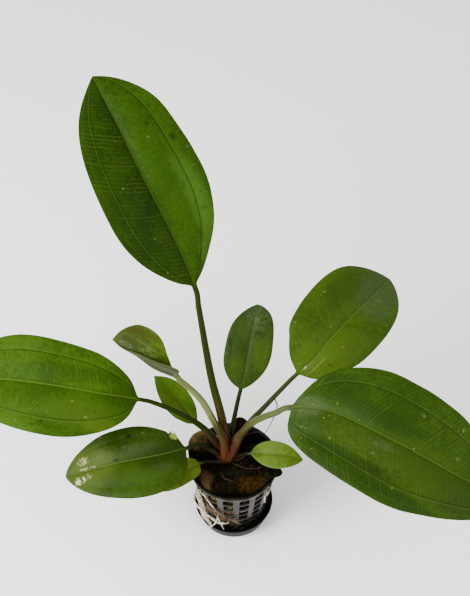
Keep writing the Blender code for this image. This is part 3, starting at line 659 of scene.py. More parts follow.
# %% Leaf measures
BEND, SMALL_BEND = ((12, -14), (12, -14)), ((14, -10), (14, -10))
LEAVES = {
    "leaf_tall": {
        "route": ((-4, 0, 56), (-6, 10, 76), (-12, 24, 98), (-18, 46, 126), (-20, 53, 136), (-31, 66, 162),
                  (-46, 83, 188), (-58, 101, 205), (-72, 127, 215)),
        "sheath": 20, "stalk": 0.44, "thick": (2.7, 1.5),
        "left": (28.4, 0.82, 0.92, 0.045, 1.6, -29), "right": (31.1, 0.92, 0.77, 0.07, 1.2, 0),
        "roll": (8, 8),
        "bend": ((18, -20), (18, -20)),
    },
    "leaf_left": {
        "route": ((-4, 0, 57), (-15, 8, 70), (-28, 9, 84), (-41, 9, 94), (-49, 8, 99), (-69, 7, 106),
                  (-95, 11, 108), (-123, 19, 102), (-158, 30, 88)),
        "sheath": 21, "stalk": 0.353, "thick": (2.1, 1.1),
        "left": (26.7, 0.62, 0.86, 0.028, 1.6, -58), "right": (24.9, 0.66, 0.76, 0.04, 1.8, 24),
        "roll": (20, 24),
    },
    "leaf_right": {
        "route": ((-3, -1, 57), (3, 2.7, 71.7), (9, 5.2, 80.3), (15, 4, 88.1), (22, 2.8, 94.3),
                  (29, 2.5, 99.5), (48, -5, 108), (71, -19, 110), (95, -31, 105), (117, -40, 97),
                  (151, -46, 80)),
        "sheath": 19, "stalk": 0.287, "thick": (3.0, 1.7),
        "left": (33.9, 0.92, 1.39, 0.065, 1.2, 78), "right": (32.5, 0.5, 0.94, 0.048, 1.8, 102),
        "roll": (-8, -26),
        "lobe": 4, "neck": 0.008, "clasp": 1.45,
    },
    "leaf_round": {
        "route": ((-3, 2, 57), (8.6, 13.8, 68.4), (16.2, 17.4, 77.3), (28, 23.6, 90.2), (34, 26.6, 96.1),
                  (43, 31, 104), (51, 39, 109), (63, 52, 112), (76, 67, 112), (87, 82, 109)),
        "sheath": 20, "stalk": 0.419, "thick": (1.7, 1.2),
        "left": (28.1, 0.7, 0.7, 0.075, 1.0, 106), "right": (22.7, 0.72, 0.62, 0.08, 0.8, 89),
        "roll": (-28, -22),
        "bend": ((8, -12), (8, -12)),
    },
    "leaf_oval": {
        "route": ((-3, 2, 57), (-0.4, 11, 70), (2.1, 17, 83), (3.8, 20, 91), (6.3, 25, 102), (8.5, 34, 112),
                  (11, 44, 118), (13, 54, 121)),
        "sheath": 16, "stalk": 0.445, "thick": (1.6, 1.1),
        "left": (13.3, 0.68, 0.74, 0.054, 1.4, 16), "right": (12.5, 0.74, 0.54, 0.05, 1.4, -79),
        "roll": (-8, -4),
        "bend": ((8, -14), (8, -14)),
    },
    "leaf_curled": {
        "route": ((-4, -1.8, 57.5), (-5.1, 0.5, 70.5), (-9.1, 5.3, 77.8), (-14, 11.9, 84.4),
                  (-18, 16.4, 88), (-23, 19, 93), (-28, 20, 99), (-31, 21, 103), (-41, 21, 110),
                  (-50, 25, 115), (-58, 28, 118), (-63, 32, 119)),
        "sheath": 21, "stalk": 0.613, "thick": (2.6, 1.8),
        "left": (9.0, 0.35, 2.2), "right": (16.6, 1.14, 0.63), "roll": (0, 0),
        "bend": ((80, 35), (48, 25)), "lobe": 2,
    },
    "leaf_low": {
        "route": ((-5, 0, 57), (-14, -1, 66), (-18, -2, 72), (-25, -6, 74), (-40, -11, 75), (-60, -13, 71),
                  (-76, -14, 65), (-90, -14, 58)),
        "sheath": 11, "stalk": 0.292, "thick": (1.6, 1.1),
        "left": (21.4, 0.45, 0.77), "right": (18.1, 0.57, 0.62), "roll": (16, 12),
        "torn": ((0.055, 0.012, 0.3), (0.085, 0.008, 0.16), (0.105, 0.008, -0.06)),
    },
    "leaf_small_back": {
        "route": ((-7, 4, 57), (-11, 9, 59), (-16, 13, 62), (-20, 15, 66), (-25, 20, 71), (-32, 26, 75),
                  (-38, 32, 77), (-44, 39, 77)),
        "sheath": 8, "stalk": 0.352, "thick": (1.1, 0.8),
        "left": (8.3, 0.68, 1.0), "right": (7.4, 1.0, 0.97), "roll": (25, 20),
        "bend": SMALL_BEND,
    },
    "leaf_small_left": {
        "route": ((-5, -3, 57), (-8, -4, 57.5), (-14, -5, 59), (-19, -7, 60), (-26, -11, 60),
                  (-35, -15, 57), (-45, -16, 52)),
        "sheath": 6, "stalk": 0.318, "thick": (1.1, 0.8),
        "left": (7.8, 0.36, 0.6), "right": (7.6, 0.6, 0.8), "roll": (8, 8),
        "bend": SMALL_BEND,
    },
    "leaf_small_right": {
        "route": ((-2, -1, 57), (5, -2, 61), (9, -3, 64), (18, -6, 68), (28, -8, 70), (37, -10, 69)),
        "sheath": 6, "stalk": 0.307, "thick": (1.1, 0.8),
        "left": (7.3, 0.71, 0.95), "right": (7.8, 1.0, 0.8), "roll": (-20, -20),
        "bend": SMALL_BEND,
    },
}
print("leaves:", len(LEAVES))

# %% A smooth route
def smooth_path(points, count):
    """Catmull-Rom curve through the points, at even distances along it, and its length."""
    pts = np.array(points, float)
    pts = np.vstack([2 * pts[0] - pts[1], pts, 2 * pts[-1] - pts[-2]])
    t = np.linspace(0, 1, 32, endpoint=False)[:, None]
    spans = [0.5 * (2 * b + (c - a) * t + (2 * a - 5 * b + 4 * c - d) * t**2 + (3 * b - a - 3 * c + d) * t**3)
             for a, b, c, d in zip(pts, pts[1:], pts[2:], pts[3:])]
    curve = np.vstack(spans + [pts[-2:-1]])
    run = np.concatenate([[0.0], np.cumsum(np.linalg.norm(np.diff(curve, axis=0), axis=1))])
    even = np.linspace(0, run[-1], count)
    return np.stack([np.interp(even, run, curve[:, k]) for k in range(3)], axis=1), run[-1]


# %% Leaf surface
ROUTE_POINTS = 400
STRONG_VEIN, OUTER_VEIN = 0.69, 0.88


class Leaf:
    """A leaf's route and the formula of its skin."""

    def __init__(self, spec):
        self.spec = spec
        self.path, self.length = smooth_path(spec["route"], ROUTE_POINTS)
        self.tangents = unit(np.gradient(self.path, axis=0))
        start = self.path[int(spec["stalk"] * (ROUTE_POINTS - 1))]
        heading = unit((self.path[-1] - start)[:2])
        self.side = np.array([heading[1], -heading[0], 0.0])

    def blade_share(self, share):
        return np.clip((share - self.spec["stalk"]) / (1 - self.spec["stalk"]), 0, 1)

    def frames(self, share):
        """Centre, tangent, right and up at each share of the route. Right is level before the roll turns it."""
        at, whole = share * (ROUTE_POINTS - 1), np.arange(ROUTE_POINTS)
        centre = np.stack([np.interp(at, whole, self.path[:, k]) for k in range(3)], -1)
        tangent = unit(np.stack([np.interp(at, whole, self.tangents[:, k]) for k in range(3)], -1))
        side = unit(self.side - tangent * (tangent @ self.side)[:, None])
        normal = np.cross(side, tangent)
        first, last = self.spec["roll"]
        roll = np.radians(first + (last - first) * self.blade_share(share))[:, None]
        return centre, tangent, side * np.cos(roll) + normal * np.sin(roll), normal * np.cos(roll) - side * np.sin(roll)

    def stem(self, share):
        """Half width of the stalk, which tapers on as the rib under the blade."""
        base, top = self.spec["thick"]
        on_stalk = base + (top - base) * share / self.spec["stalk"]
        return np.where(share < self.spec["stalk"], on_stalk, 0.25 + (top - 0.25) * (1 - self.blade_share(share)) ** 0.9)

    def open_width(self, share, right):
        half, base, tip, *wave = self.spec["right" if right else "left"]
        along, peak = self.blade_share(share), base / (base + tip)
        full = half * along**base * (1 - along) ** tip / (peak**base * (1 - peak) ** tip)
        if wave:
            amount, waves, phase = wave
            full = full * (1 + amount * np.sin(2 * np.pi * waves * along + math.radians(phase)))
        full = full * (1 - np.exp(-((along / self.spec.get("neck", 0.022)) ** 1.5)))
        for middle, wide, grown in self.spec.get("torn", ()) if right else ():
            full = full * (1 + grown * np.exp(-(((along - middle) / wide) ** 2)))
        return full

    def skin(self, share, across, below, seed=0):
        """Points of the skin in mm, one row for each share and one column for each value across from -1 to 1.

        A point leaves the midrib at the fold angle and turns evenly, so it lies at the end of a chord of
        reach * sin(h) / h, where h is half the turn so far. Depth thickens the midrib and rounds the margins.
        """
        centre, tangent, right, up = (v[:, None, :] for v in self.frames(share))
        s, u = share[:, None], across[None, :]
        reach, sign = np.abs(u), np.where(u > 0, 1.0, -1.0)
        left, right_half = self.spec.get("bend", BEND)
        wide = np.where(u > 0, self.open_width(share, True)[:, None], self.open_width(share, False)[:, None])
        stem = self.stem(share)[:, None]
        width = np.hypot(wide, stem)
        opened = wide / (wide + stem)
        fold, turn = (np.radians(np.where(u > 0, right_half[k], left[k])) * opened for k in (0, 1))
        chord = reach * np.sinc(turn * reach / 2 / np.pi) * width
        x, z = chord * np.cos(fold + turn * reach / 2), chord * np.sin(fold + turn * reach / 2)
        slope = (fold + turn * reach) * sign
        body = stem * np.exp(-((u * width / (1.2 * stem)) ** 2))
        rim = np.sqrt(np.maximum(1 - u**2, 0))
        relief = self.relief(share, u, wide, seed)
        if below:
            veins = 0.22 * np.exp(-(((reach - STRONG_VEIN) * wide / 0.5) ** 2)) * np.minimum(wide / 12, 1)
            depth = relief - (0.8 * body + 0.3 + veins) * rim
        else:
            groove = 0.35 * np.exp(-((u * width / 0.8) ** 2)) * np.clip(wide / 8 - 0.4, 0, 1)
            depth = relief + (0.6 * body * (1 - opened) + 0.3 - groove) * rim
        skin = right * (sign * x - depth * np.sin(slope))[..., None] + up * (z + depth * np.cos(slope))[..., None]
        lobe = self.spec.get("lobe", 0) * u**2 * np.exp(-self.blade_share(s) / 0.12) * wide / 30.0
        return centre + skin - tangent * lobe[..., None]

    def relief(self, share, u, wide, seed):
        """Swelling of the blade between its veins, waves along its margin, and slight unevenness."""
        reach = np.abs(u)
        inner = np.sin(np.pi * np.clip(reach / STRONG_VEIN, 0, 1))
        outer = np.sin(np.pi * np.clip((reach - STRONG_VEIN) / (1 - STRONG_VEIN), 0, 1))
        swell = (inner * STRONG_VEIN + outer * (1 - STRONG_VEIN)) * wide * 0.035
        run = share[:, None] * self.length
        place = np.stack(np.broadcast_arrays(run, u * wide, 7.0 + 3 * np.sign(u)), -1)
        uneven = rough_noise(place, 16.0, seed, 2) * 0.5 * np.minimum(wide / 15, 1) * np.minimum(reach * 3, 1)
        wave = smooth_noise(np.stack(np.broadcast_arrays(run, 40.0 * np.sign(u), 0.0), -1), 14.0, seed + 5)
        return swell + uneven + wave * reach**3 * wide * 0.035


# %% [markdown]
# ### Stations and stored distances
#
# The rings sit closer together near both ends of the blade, where its outline curves most. The mesh also stores
# how far each point lies from the midrib, from the margin and along the route, in millimetres. The material
# draws the veins from these numbers, so they follow the blade however it bends.

# %% Leaf mesh
def leaf_shares(leaf, first, stalk_steps, blade_steps):
    """Even stations on the stalk, then stations spaced as a cosine over the blade."""
    stalk = leaf.spec["stalk"]
    turns = np.linspace(0, np.pi, blade_steps + 1)[:-1]
    return np.concatenate([np.linspace(first, stalk, stalk_steps, endpoint=False),
                           stalk + (1 - stalk) * (1 - np.cos(turns)) / 2 + 0.0004 * (turns == 0)])


def leaf_mesh(name, leaf, first, stalk_steps, blade_steps, half_steps, seed):
    """Closed skin: the upper face from margin to margin, then the lower face back, ring after ring."""
    share = leaf_shares(leaf, first, stalk_steps, blade_steps)
    bow = np.linspace(-np.pi / 2, np.pi / 2, 2 * half_steps + 1)
    across = 0.55 * np.sin(bow) + 0.45 * bow / (np.pi / 2)
    under = across[::-1][1:-1]
    rings = np.concatenate([leaf.skin(share, across, False, seed), leaf.skin(share, under, True, seed)], axis=1)
    first_point = leaf.frames(share[:1])[0][0]
    mesh = closed_grid(name, rings * MM, first_point * MM, leaf.path[-1] * MM)

    u = np.concatenate([across, under])[None, :]
    wide = np.where(u > 0, leaf.open_width(share, True)[:, None], leaf.open_width(share, False)[:, None])
    width = np.hypot(wide, leaf.stem(share)[:, None])
    blade_start = leaf.spec["stalk"] * leaf.length
    along = share[:, None] * leaf.length - blade_start + 0 * u
    stored = {
        "across_mm": (u * width, 0.0, 0.0),
        "along_mm": (along, first * leaf.length - blade_start, leaf.length - blade_start),
        "strong_vein_mm": ((np.abs(u) - STRONG_VEIN) * width, -1.0, 0.0),
        "outer_vein_mm": ((np.abs(u) - OUTER_VEIN) * width, -1.0, 0.0),
        "margin_mm": ((1 - np.abs(u)) * width, 2.0, 0.0),
        "under": (np.broadcast_to(np.arange(u.shape[1]) >= len(across), along.shape), 0.0, 0.0),
        "reach_mm": (along + blade_start, first * leaf.length, leaf.length),
    }
    for key, (values, start, end) in stored.items():
        write_attribute(mesh, key, np.concatenate([np.ravel(values), [start, end]]))
    return mesh


# %% [markdown]
# ## Stalk colours
#
# The stalks are green above and turn olive, then reddish brown, towards the crown. Pale lines run lengthwise in
# them. The crown's sheaths use the same colours by the same distance, so no edge shows where a stalk leaves its
# sheath.

# %% Stalk colours
def stalk_tone(f, across, reach, green, lighter, red_up_to=20.0):
    """Colour of a stalk from the distance across and the distance from the crown, both in mm."""
    lines = f.noise(1.0, 3.0, 0.55, f.vector(f.times(across, 2.6), f.times(reach, 0.07)))
    pale = f.step(lines, 0.45, 0.72)
    upper = f.mix(pale, green, lighter)
    olive = f.mix(pale, (0.02, 0.017, 0.002), (0.066, 0.05, 0.01))
    red = f.mix(pale, (0.026, 0.0066, 0.0008), (0.106, 0.035, 0.0055))
    start = f.plus(reach, f.times(f.minus(lines, 0.5), 12.0))
    colour = f.mix(f.step(start, red_up_to * 1.5, red_up_to * 0.95), upper, olive)
    return f.mix(f.step(start, red_up_to * 0.95, red_up_to * 0.5), colour, red), lines


# %% [markdown]
# ## Leaf finish
#
# A leaf is green with paler veins. Three kinds of line are drawn from the stored distances: the midrib, the strong
# side veins, and the fine cross veins that leave the midrib at about 70 degrees and bend towards the tip. For the
# fine ones the distance along, less a share of the distance across, is divided by their spacing. The whole part
# numbers the line and the rest says how near it is. A random number for each line makes some strong and some
# faint. Marks and blotches are ragged ovals, placed by the same two distances.

# %% Leaf finish
def shaded(colour, share):
    return tuple(share * part for part in colour)


def leaf_finish(name, dark, light, vein, under=(0.06, 0.09, 0.015), pitch=(1.5, 1.5), veins=1.0, sides=1.0,
                stalk=(0.01, 0.018, 0.001), gloss=0.46, sheen=0.06, red_up_to=15.0, painted_half_shade=(1.0, 1.0),
                edge=(0.018, 0.018, 0.003), tones=(), marks=()):
    """Material of one leaf. Colours are linear. Pairs give the left and the right half of the blade."""
    f = Finish(name, gloss, sheen)
    across, along, reach = f.read("across_mm"), f.read("along_mm"), f.read("reach_mm")
    strong, outer, margin = f.read("strong_vein_mm"), f.read("outer_vein_mm"), f.read("margin_mm")
    side = f.math("ABSOLUTE", across)
    on_blade = f.times(f.step(along, 1.0, 8.0), f.step(margin, 0.2, 1.4))

    tone = f.plus(f.times(f.noise(38.0, 3.0, 0.5), 0.45), f.times(f.noise(480.0, 6.0, 0.7), 0.55))
    colour = f.mix(f.step(tone, 0.38, 0.62), dark, light)
    streak = f.noise(1.0, 4.0, 0.6, f.vector(f.times(across, 0.75), f.times(along, 0.28)))
    # The dusty grain also breaks up the painted sheen tones.
    grains = {"streaks": f.step(streak, 0.4, 0.62), "flakes": f.step(f.noise(650.0, 6.0, 0.8), 0.47, 0.56),
              "dust": f.step(f.noise(1500.0, 5.0, 0.7), 0.34, 0.72)}

    def lay(base, patches, soft, ragged):
        for start, over, length, width, shade_of, amount, *grain in patches:
            mask = f.patch(((along, start), (across, over)), (length, width), soft, ragged)
            base = f.mix(f.times(mask, *(grains[kind] for kind in grain), amount), base, shade_of)
        return base

    colour = lay(colour, tones, 1.0, 0.25)
    # Painted light and shade: the left half of the blade is darkened and the right half lightened by the given factors.
    if painted_half_shade != (1.0, 1.0):
        factor = f.step(across, -0.3, 0.3, *painted_half_shade)
        colour = f.mix(1.0, colour, f.vector(factor, factor, factor), "MULTIPLY")

    warp = f.times(f.minus(f.noise(110.0, 3.0, 0.6), 0.5), 2.2)
    slant = f.plus(f.times(side, 0.36), f.times(side, side, 0.006))
    spacing = f.step(across, -0.01, 0.01, *pitch)
    count = f.math("DIVIDE", f.minus(f.plus(along, warp), slant), spacing)
    which = f.plus(f.math("FLOOR", count), f.times(f.math("SIGN", across), 331.5))
    off = f.times(f.math("ABSOLUTE", f.minus(f.math("FRACT", count), 0.5)), spacing)
    strength = f.math("MULTIPLY_ADD", f.math("POWER", f.random(which), 1.9), 0.82, 0.18)
    breaks = f.step(f.noise(150.0, 3.0), 0.36, 0.62, 0.2, 1.0)
    crossing = f.times(strength, breaks, on_blade)
    fine = f.times(f.step(off, 0.34, 0.08), crossing)
    shade = f.times(f.step(off, 0.75, 0.3), crossing)
    colour = f.mix(f.times(shade, 0.35 * veins), colour, dark)
    colour = f.mix(f.times(fine, 0.75 * veins), colour, vein)

    midrib = f.times(f.step(side, 0.55, 0.15), f.step(along, -2.0, 6.0))
    beside_rib = f.times(f.step(side, 1.8, 0.5), f.step(along, 0.0, 8.0))
    strong_line = f.times(f.step(f.math("ABSOLUTE", strong), 0.36, 0.08), on_blade)
    outer_line = f.times(f.step(f.math("ABSOLUTE", outer), 0.3, 0.05), on_blade)
    # Painted shade: the next mask darkens the crease just inside each strong side vein.
    groove = f.times(f.step(strong, -1.8, -0.4), f.step(strong, 0.0, -0.3), on_blade)
    colour = f.mix(f.times(beside_rib, 0.45 * veins), colour, dark)
    colour = f.mix(f.times(groove, 0.6 * sides), colour, shaded(dark, 0.6))
    colour = f.mix(f.times(strong_line, 0.45 * sides), colour, vein)
    colour = f.mix(f.times(outer_line, 0.22 * sides), colour, vein)
    colour = f.mix(f.times(midrib, 0.65), colour, vein)

    specks = f.times(f.step(f.cells(260.0), 0.17, 0.08), f.step(f.noise(130.0, 1.0), 0.58, 0.66))
    colour = f.mix(f.times(specks, 0.8), colour, (0.1, 0.13, 0.03))
    spots = f.times(f.step(f.noise(190.0, 3.0), 0.66, 0.74), 0.4)
    colour = f.mix(spots, colour, shaded(dark, 0.4))
    colour = lay(colour, marks, 0.6, 0.5)
    rim = f.times(f.step(margin, 0.7, 0.1), f.step(along, 0.0, 3.0))
    colour = f.mix(f.times(rim, 0.7), colour, edge)

    back = f.mix(f.times(fine, 0.8), f.mix(f.step(tone, 0.4, 0.6), shaded(under, 0.7), under), vein)
    colour = f.mix(f.read("under"), colour, back)
    stem, lines = stalk_tone(f, across, reach, stalk, shaded(stalk, 1.9), red_up_to)
    colour = f.mix(f.step(along, 3.0, -3.0), colour, stem)

    net = f.times(f.step(f.cells(1900.0, "DISTANCE_TO_EDGE"), 0.0, 0.3), on_blade)
    height = f.plus(f.times(fine, 0.6), f.times(net, 0.12))
    height = f.plus(height, f.times(f.noise(420.0, 5.0), 0.5))
    height = f.plus(height, f.times(lines, f.step(along, 3.0, -3.0), 1.2))
    f.set(Base_Color=colour, Roughness=f.math("MULTIPLY_ADD", f.noise(300.0, 5.0, 0.7), 0.26, gloss - 0.13),
          Normal=f.bump(height, 0.0002, 0.8))
    f.set(Subsurface_Weight=0.1, Subsurface_Scale=0.001, Subsurface_Radius=(0.5, 0.8, 0.1))
    return f.material


# %% [markdown]
# ## Leaf colours
#
# Each leaf has its own greens. A patch is written as its place along and across the blade, its half length and half
# width in millimetres, its colour, its strength and, for some, its grain. Tones lie under the veins: painted sheen,
# blush and lighter or darker areas, and on the tall leaf painted light over its right half. Marks lie over them:
# spots, specks and the dried deposits near the tip of the low leaf.

# %% Leaf colours
# The second colour here is a painted sheen: a lighter greyish green laid where light glances off the leaves.
CHALK, PAINTED_SHEEN, DUSK = (0.4, 0.38, 0.2), (0.085, 0.11, 0.052), (0.004, 0.01, 0.001)
LEAF_LOOKS = {
    "leaf_tall": dict(
        dark=(0.0085, 0.026, 0.0004), light=(0.0185, 0.046, 0.0008), vein=(0.042, 0.072, 0.008),
        # The second pair on the next line is painted shade on the left half and painted light on the right half.
        pitch=(2.3, 1.6), painted_half_shade=(0.74, 1.06), sheen=0.04, edge=(0.014, 0.01, 0.002),
        red_up_to=30.0,
        # These three tones on the right half are painted light, with painted sheen on the outer strip.
        tones=((30, 20, 54, 8, (0.033, 0.077, 0.006), 0.85), (10, 13, 16, 6, (0.036, 0.078, 0.008), 0.7),
               (60, 8, 40, 9, (0.02, 0.05, 0.001), 0.4)),
        marks=((76.5, 22, 2.4, 1.2, DUSK, 0.6), (87.6, 13.5, 1.5, 1.1, DUSK, 0.5),
               (68.7, 27, 0.8, 0.6, (0.05, 0.11, 0.03), 0.6), (58.3, 25.3, 0.6, 0.5, (0.05, 0.11, 0.03), 0.5),
               (19.6, 13, 0.8, 0.7, (0.05, 0.1, 0.02), 0.5))),
    "leaf_left": dict(
        dark=(0.0138, 0.0355, 0.0006), light=(0.0275, 0.062, 0.0019), vein=(0.056, 0.098, 0.009),
        under=(0.07, 0.1, 0.02), pitch=(1.9, 2.0), veins=0.75, sheen=0.03, gloss=0.55,
        tones=((18.5, -17, 12, 5, (0.052, 0.082, 0.003), 0.7), (30, -13, 26, 11, (0.034, 0.064, 0.005), 0.6),
               (36, 8, 30, 6, (0.01, 0.028, 0.0005), 0.6), (8, 0, 14, 8, (0.012, 0.03, 0.0006), 0.7)),
        marks=((85, -9, 2.0, 1.8, (0.06, 0.11, 0.02), 0.5), (47, -20, 1.4, 1.0, DUSK, 0.5),
               (26, -14, 0.9, 0.7, (0.11, 0.13, 0.02), 0.7), (34, -7, 0.8, 0.6, (0.1, 0.13, 0.02), 0.6))),
    "leaf_right": dict(
        dark=(0.0112, 0.028, 0.0007), light=(0.0215, 0.0465, 0.0016), vein=(0.045, 0.079, 0.01),
        pitch=(2.3, 2.1), veins=0.7, stalk=(0.042, 0.05, 0.013), sheen=0.055, red_up_to=22.0,
        tones=((52, 9, 34, 11, (0.034, 0.06, 0.008), 0.75, "streaks"), (75, 5, 45, 14, (0.02, 0.042, 0.002), 0.7),
               # The first two tones on the next line, near the base, are painted sheen.
               (9, 0, 15, 9, PAINTED_SHEEN, 0.75, "dust"), (12, 12, 16, 8, (0.036, 0.052, 0.02), 0.6, "dust"),
               (38, 20, 30, 5.0, (0.0065, 0.0175, 0.0004), 0.7), (66, 27, 60, 6.0, (0.0085, 0.023, 0.0005), 0.85),
               (45, -8, 34, 6.0, (0.008, 0.021, 0.0005), 0.7), (26, -15, 14, 8, (0.007, 0.019, 0.0005), 0.6),
               (54, 6, 9, 3.5, (0.055, 0.08, 0.028), 0.6, "dust")),
        marks=((66, -18, 1.0, 0.7, (0.08, 0.12, 0.04), 0.6), (52, 12, 1.2, 0.9, (0.06, 0.1, 0.03), 0.5),
               (90, -7, 1.5, 1.0, (0.06, 0.1, 0.02), 0.4))),
    "leaf_round": dict(
        dark=(0.0155, 0.035, 0.0008), light=(0.029, 0.057, 0.0022), vein=(0.06, 0.09, 0.01),
        pitch=(1.7, 1.7), veins=0.55, sides=0.12,
        # The grey tone at 66 mm along, near the tip, is a painted sheen.
        tones=((6, 0, 22, 14, (0.046, 0.086, 0.006), 0.7, "streaks"), (16, 3, 24, 16, (0.038, 0.07, 0.003), 0.7),
               (30, 12, 18, 10, (0.036, 0.066, 0.003), 0.6), (66, 2, 20, 16, (0.032, 0.05, 0.016), 0.6),
               (50, -14, 20, 10, (0.011, 0.027, 0.0006), 0.6)),
        marks=((6, 0.3, 1.2, 0.7, (0.2, 0.22, 0.09), 0.8), (11, 4, 9, 0.4, (0.1, 0.13, 0.02), 0.6),
               (43, -20, 0.7, 0.6, (0.1, 0.14, 0.05), 0.7), (28, 8, 0.6, 0.5, (0.1, 0.14, 0.05), 0.6))),
    "leaf_oval": dict(
        dark=(0.0095, 0.021, 0.0007), light=(0.018, 0.035, 0.0016), vein=(0.024, 0.042, 0.006),
        under=(0.05, 0.08, 0.015), veins=0.2, sides=0.0, stalk=(0.006, 0.01, 0.0008),
        # The grey tone at 42 mm along, on the midline near the tip, is a painted sheen.
        tones=((42, 0, 20, 12, (0.027, 0.043, 0.012), 0.55, "dust"), (22, 7, 11, 6, (0.024, 0.048, 0.002), 0.7),
               (12, -5, 10, 6, (0.022, 0.044, 0.002), 0.5)),
        marks=((32, 3.3, 2.4, 2.4, (0.006, 0.014, 0.001), 0.6), (31.2, 3.9, 1.5, 1.5, (0.02, 0.038, 0.003), 0.8),
               (26, -10.6, 2.4, 0.7, DUSK, 0.85), (42, 1, 9, 7, (0.1, 0.12, 0.07), 0.22, "flakes"))),
    "leaf_curled": dict(
        dark=(0.037, 0.066, 0.0028), light=(0.056, 0.092, 0.0055), vein=(0.065, 0.08, 0.014),
        under=(0.046, 0.06, 0.022), veins=0.3, sides=0.0, stalk=(0.088, 0.101, 0.032), gloss=0.38, sheen=0.05,
        edge=(0.02, 0.009, 0.003), red_up_to=22.0,
        tones=((34, 6, 14, 12, (0.023, 0.031, 0.0028), 0.95), (28, 13, 15, 4.0, (0.027, 0.028, 0.003), 0.8),
               (22, 4, 15, 7, (0.016, 0.028, 0.002), 0.75)),
        marks=((24, 5, 11, 6.0, (0.056, 0.082, 0.018), 0.85, "streaks"),
               (22, 9, 11, 1.6, (0.01, 0.016, 0.001), 0.7, "streaks"),
               (30, 4, 7, 4, (0.01, 0.011, 0.002), 0.7, "streaks"), (31, 2, 5, 2.5, (0.07, 0.074, 0.04), 0.6, "flakes"))),
    "leaf_low": dict(
        dark=(0.0092, 0.0222, 0.0004), light=(0.0184, 0.041, 0.0012), vein=(0.046, 0.074, 0.01),
        pitch=(2.2, 1.8), veins=0.45, sides=0.3, sheen=0.05, stalk=(0.006, 0.009, 0.001), red_up_to=3.0,
        # The light tone at 54 mm along, towards the tip, is a painted sheen.
        tones=((54, 0, 22, 17, (0.044, 0.07, 0.007), 0.85), (12, 0, 24, 12, (0.0068, 0.0165, 0.0003), 0.85),
               (26, 6, 20, 4, (0.034, 0.05, 0.012), 0.6, "dust"), (14, -8, 7, 4, (0.032, 0.048, 0.012), 0.6, "dust")),
        marks=((29.6, 12.9, 1.9, 1.3, DUSK, 0.9), (38.2, 1.6, 1.4, 0.9, DUSK, 0.7),
               (33, 8, 5, 4, DUSK, 0.5, "flakes"), (46, 6, 6, 4, (0.08, 0.1, 0.04), 0.3, "flakes"),
               (57.5, 5.4, 4.2, 2.4, CHALK, 0.65, "flakes"), (55.0, 1.2, 7.0, 0.8, CHALK, 0.6, "flakes"),
               (59.5, -4.8, 4.4, 2.6, CHALK, 0.85, "flakes"), (61, -5.2, 1.9, 1.2, CHALK, 0.9),
               (54.5, -3.6, 2.6, 2.0, (0.2, 0.2, 0.09), 0.8, "flakes"), (3.9, 8.4, 3.6, 2.8, (0.15, 0.19, 0.03), 0.9))),
    "leaf_small_back": dict(
        dark=(0.043, 0.096, 0.0016), light=(0.068, 0.14, 0.0042), vein=(0.085, 0.12, 0.012),
        under=(0.06, 0.08, 0.012), veins=0.15, sides=0.0,
        tones=((19, -1.5, 13, 4.0, (0.05, 0.066, 0.003), 0.45), (8, 0, 10, 6, (0.026, 0.054, 0.001), 0.7))),
    "leaf_small_left": dict(
        dark=(0.06, 0.096, 0.006), light=(0.104, 0.148, 0.013), vein=(0.11, 0.145, 0.022),
        under=(0.06, 0.08, 0.012), veins=0.15, sides=0.0, stalk=(0.005, 0.003, 0.001), red_up_to=1.0),
    "leaf_small_right": dict(
        dark=(0.038, 0.072, 0.003), light=(0.064, 0.106, 0.0085), vein=(0.036, 0.06, 0.005),
        under=(0.07, 0.1, 0.015), veins=0.2, sides=0.0, stalk=(0.005, 0.003, 0.001), red_up_to=1.0,
        edge=(0.085, 0.12, 0.03), tones=((3, 0, 7, 5, (0.026, 0.046, 0.003), 0.7),)),
}
SMALL_LEAVES = ("leaf_small_back", "leaf_small_left", "leaf_small_right")
# stations on the stalk and on the blade, and points across half of it
SMALL_STEPS, FULL_STEPS = (24, 70, 18), (40, 150, 34)

for seed, (name, spec) in enumerate(LEAVES.items()):
    leaf = Leaf(spec)
    steps = SMALL_STEPS if name in SMALL_LEAVES else FULL_STEPS
    first = 0.62 * spec["sheath"] / leaf.length
    mesh = leaf_mesh(name, leaf, first, *steps, seed=20 * seed + 3)
    blade = name.replace("leaf_", "") + "_leaf"
    add_piece(blade, mesh, [name], leaf_finish(blade, **LEAF_LOOKS[name]))

# %% [markdown]
# ## Crown
#
# All stalks leave one short root stock. Their bases are broad sheaths that clasp each other and turn reddish
# brown. The core is a squashed ball with a flat seat. Each sheath repeats the first part of its stalk, made wider
# low down. Further up it grows narrower than the stalk and ends inside it, so the stalk seems to grow out of it.

# %% Crown
def sheath_rings(leaf, spec, rings=34, around=40):
    """Rings of a sheath, and the distances across and along that the stalk's colours need."""
    climb = np.linspace(0, 1, rings)
    share = climb * spec["sheath"] / leaf.length
    turn = np.linspace(0, 2 * np.pi, around, endpoint=False)
    centre, _, right, up = (v[:, None, :] for v in leaf.frames(share))
    climb = climb[:, None]
    clasp = spec.get("clasp", 1.3)
    radius = leaf.stem(share)[:, None] * (clasp - (clasp - 1.0) * climb**1.2 - 0.35 * np.clip(climb - 0.6, 0, 1) ** 1.3)
    ribs = 1 + 0.03 * np.sin(9 * turn + 1.5 * climb) + 0.02 * np.sin(17 * turn - 2 * climb)
    wide, deep = right * np.cos(turn)[:, None], 0.82 * up * np.sin(turn)[:, None]
    across = radius * np.cos(turn) + 0.6 * radius * np.sin(turn)
    reach = share[:, None] * leaf.length + 0 * turn
    return centre + (radius * ribs)[..., None] * (wide + deep), across, reach


def joined(name, skins):
    """One mesh of several closed skins, kept as they are."""
    starts = np.cumsum([0] + [len(points) for points, _, _ in skins])
    points = np.concatenate([skin[0] for skin in skins])
    faces = (np.concatenate([skin[k] + start for skin, start in zip(skins, starts)]) for k in (1, 2))
    return mesh_of(name, points, *faces)


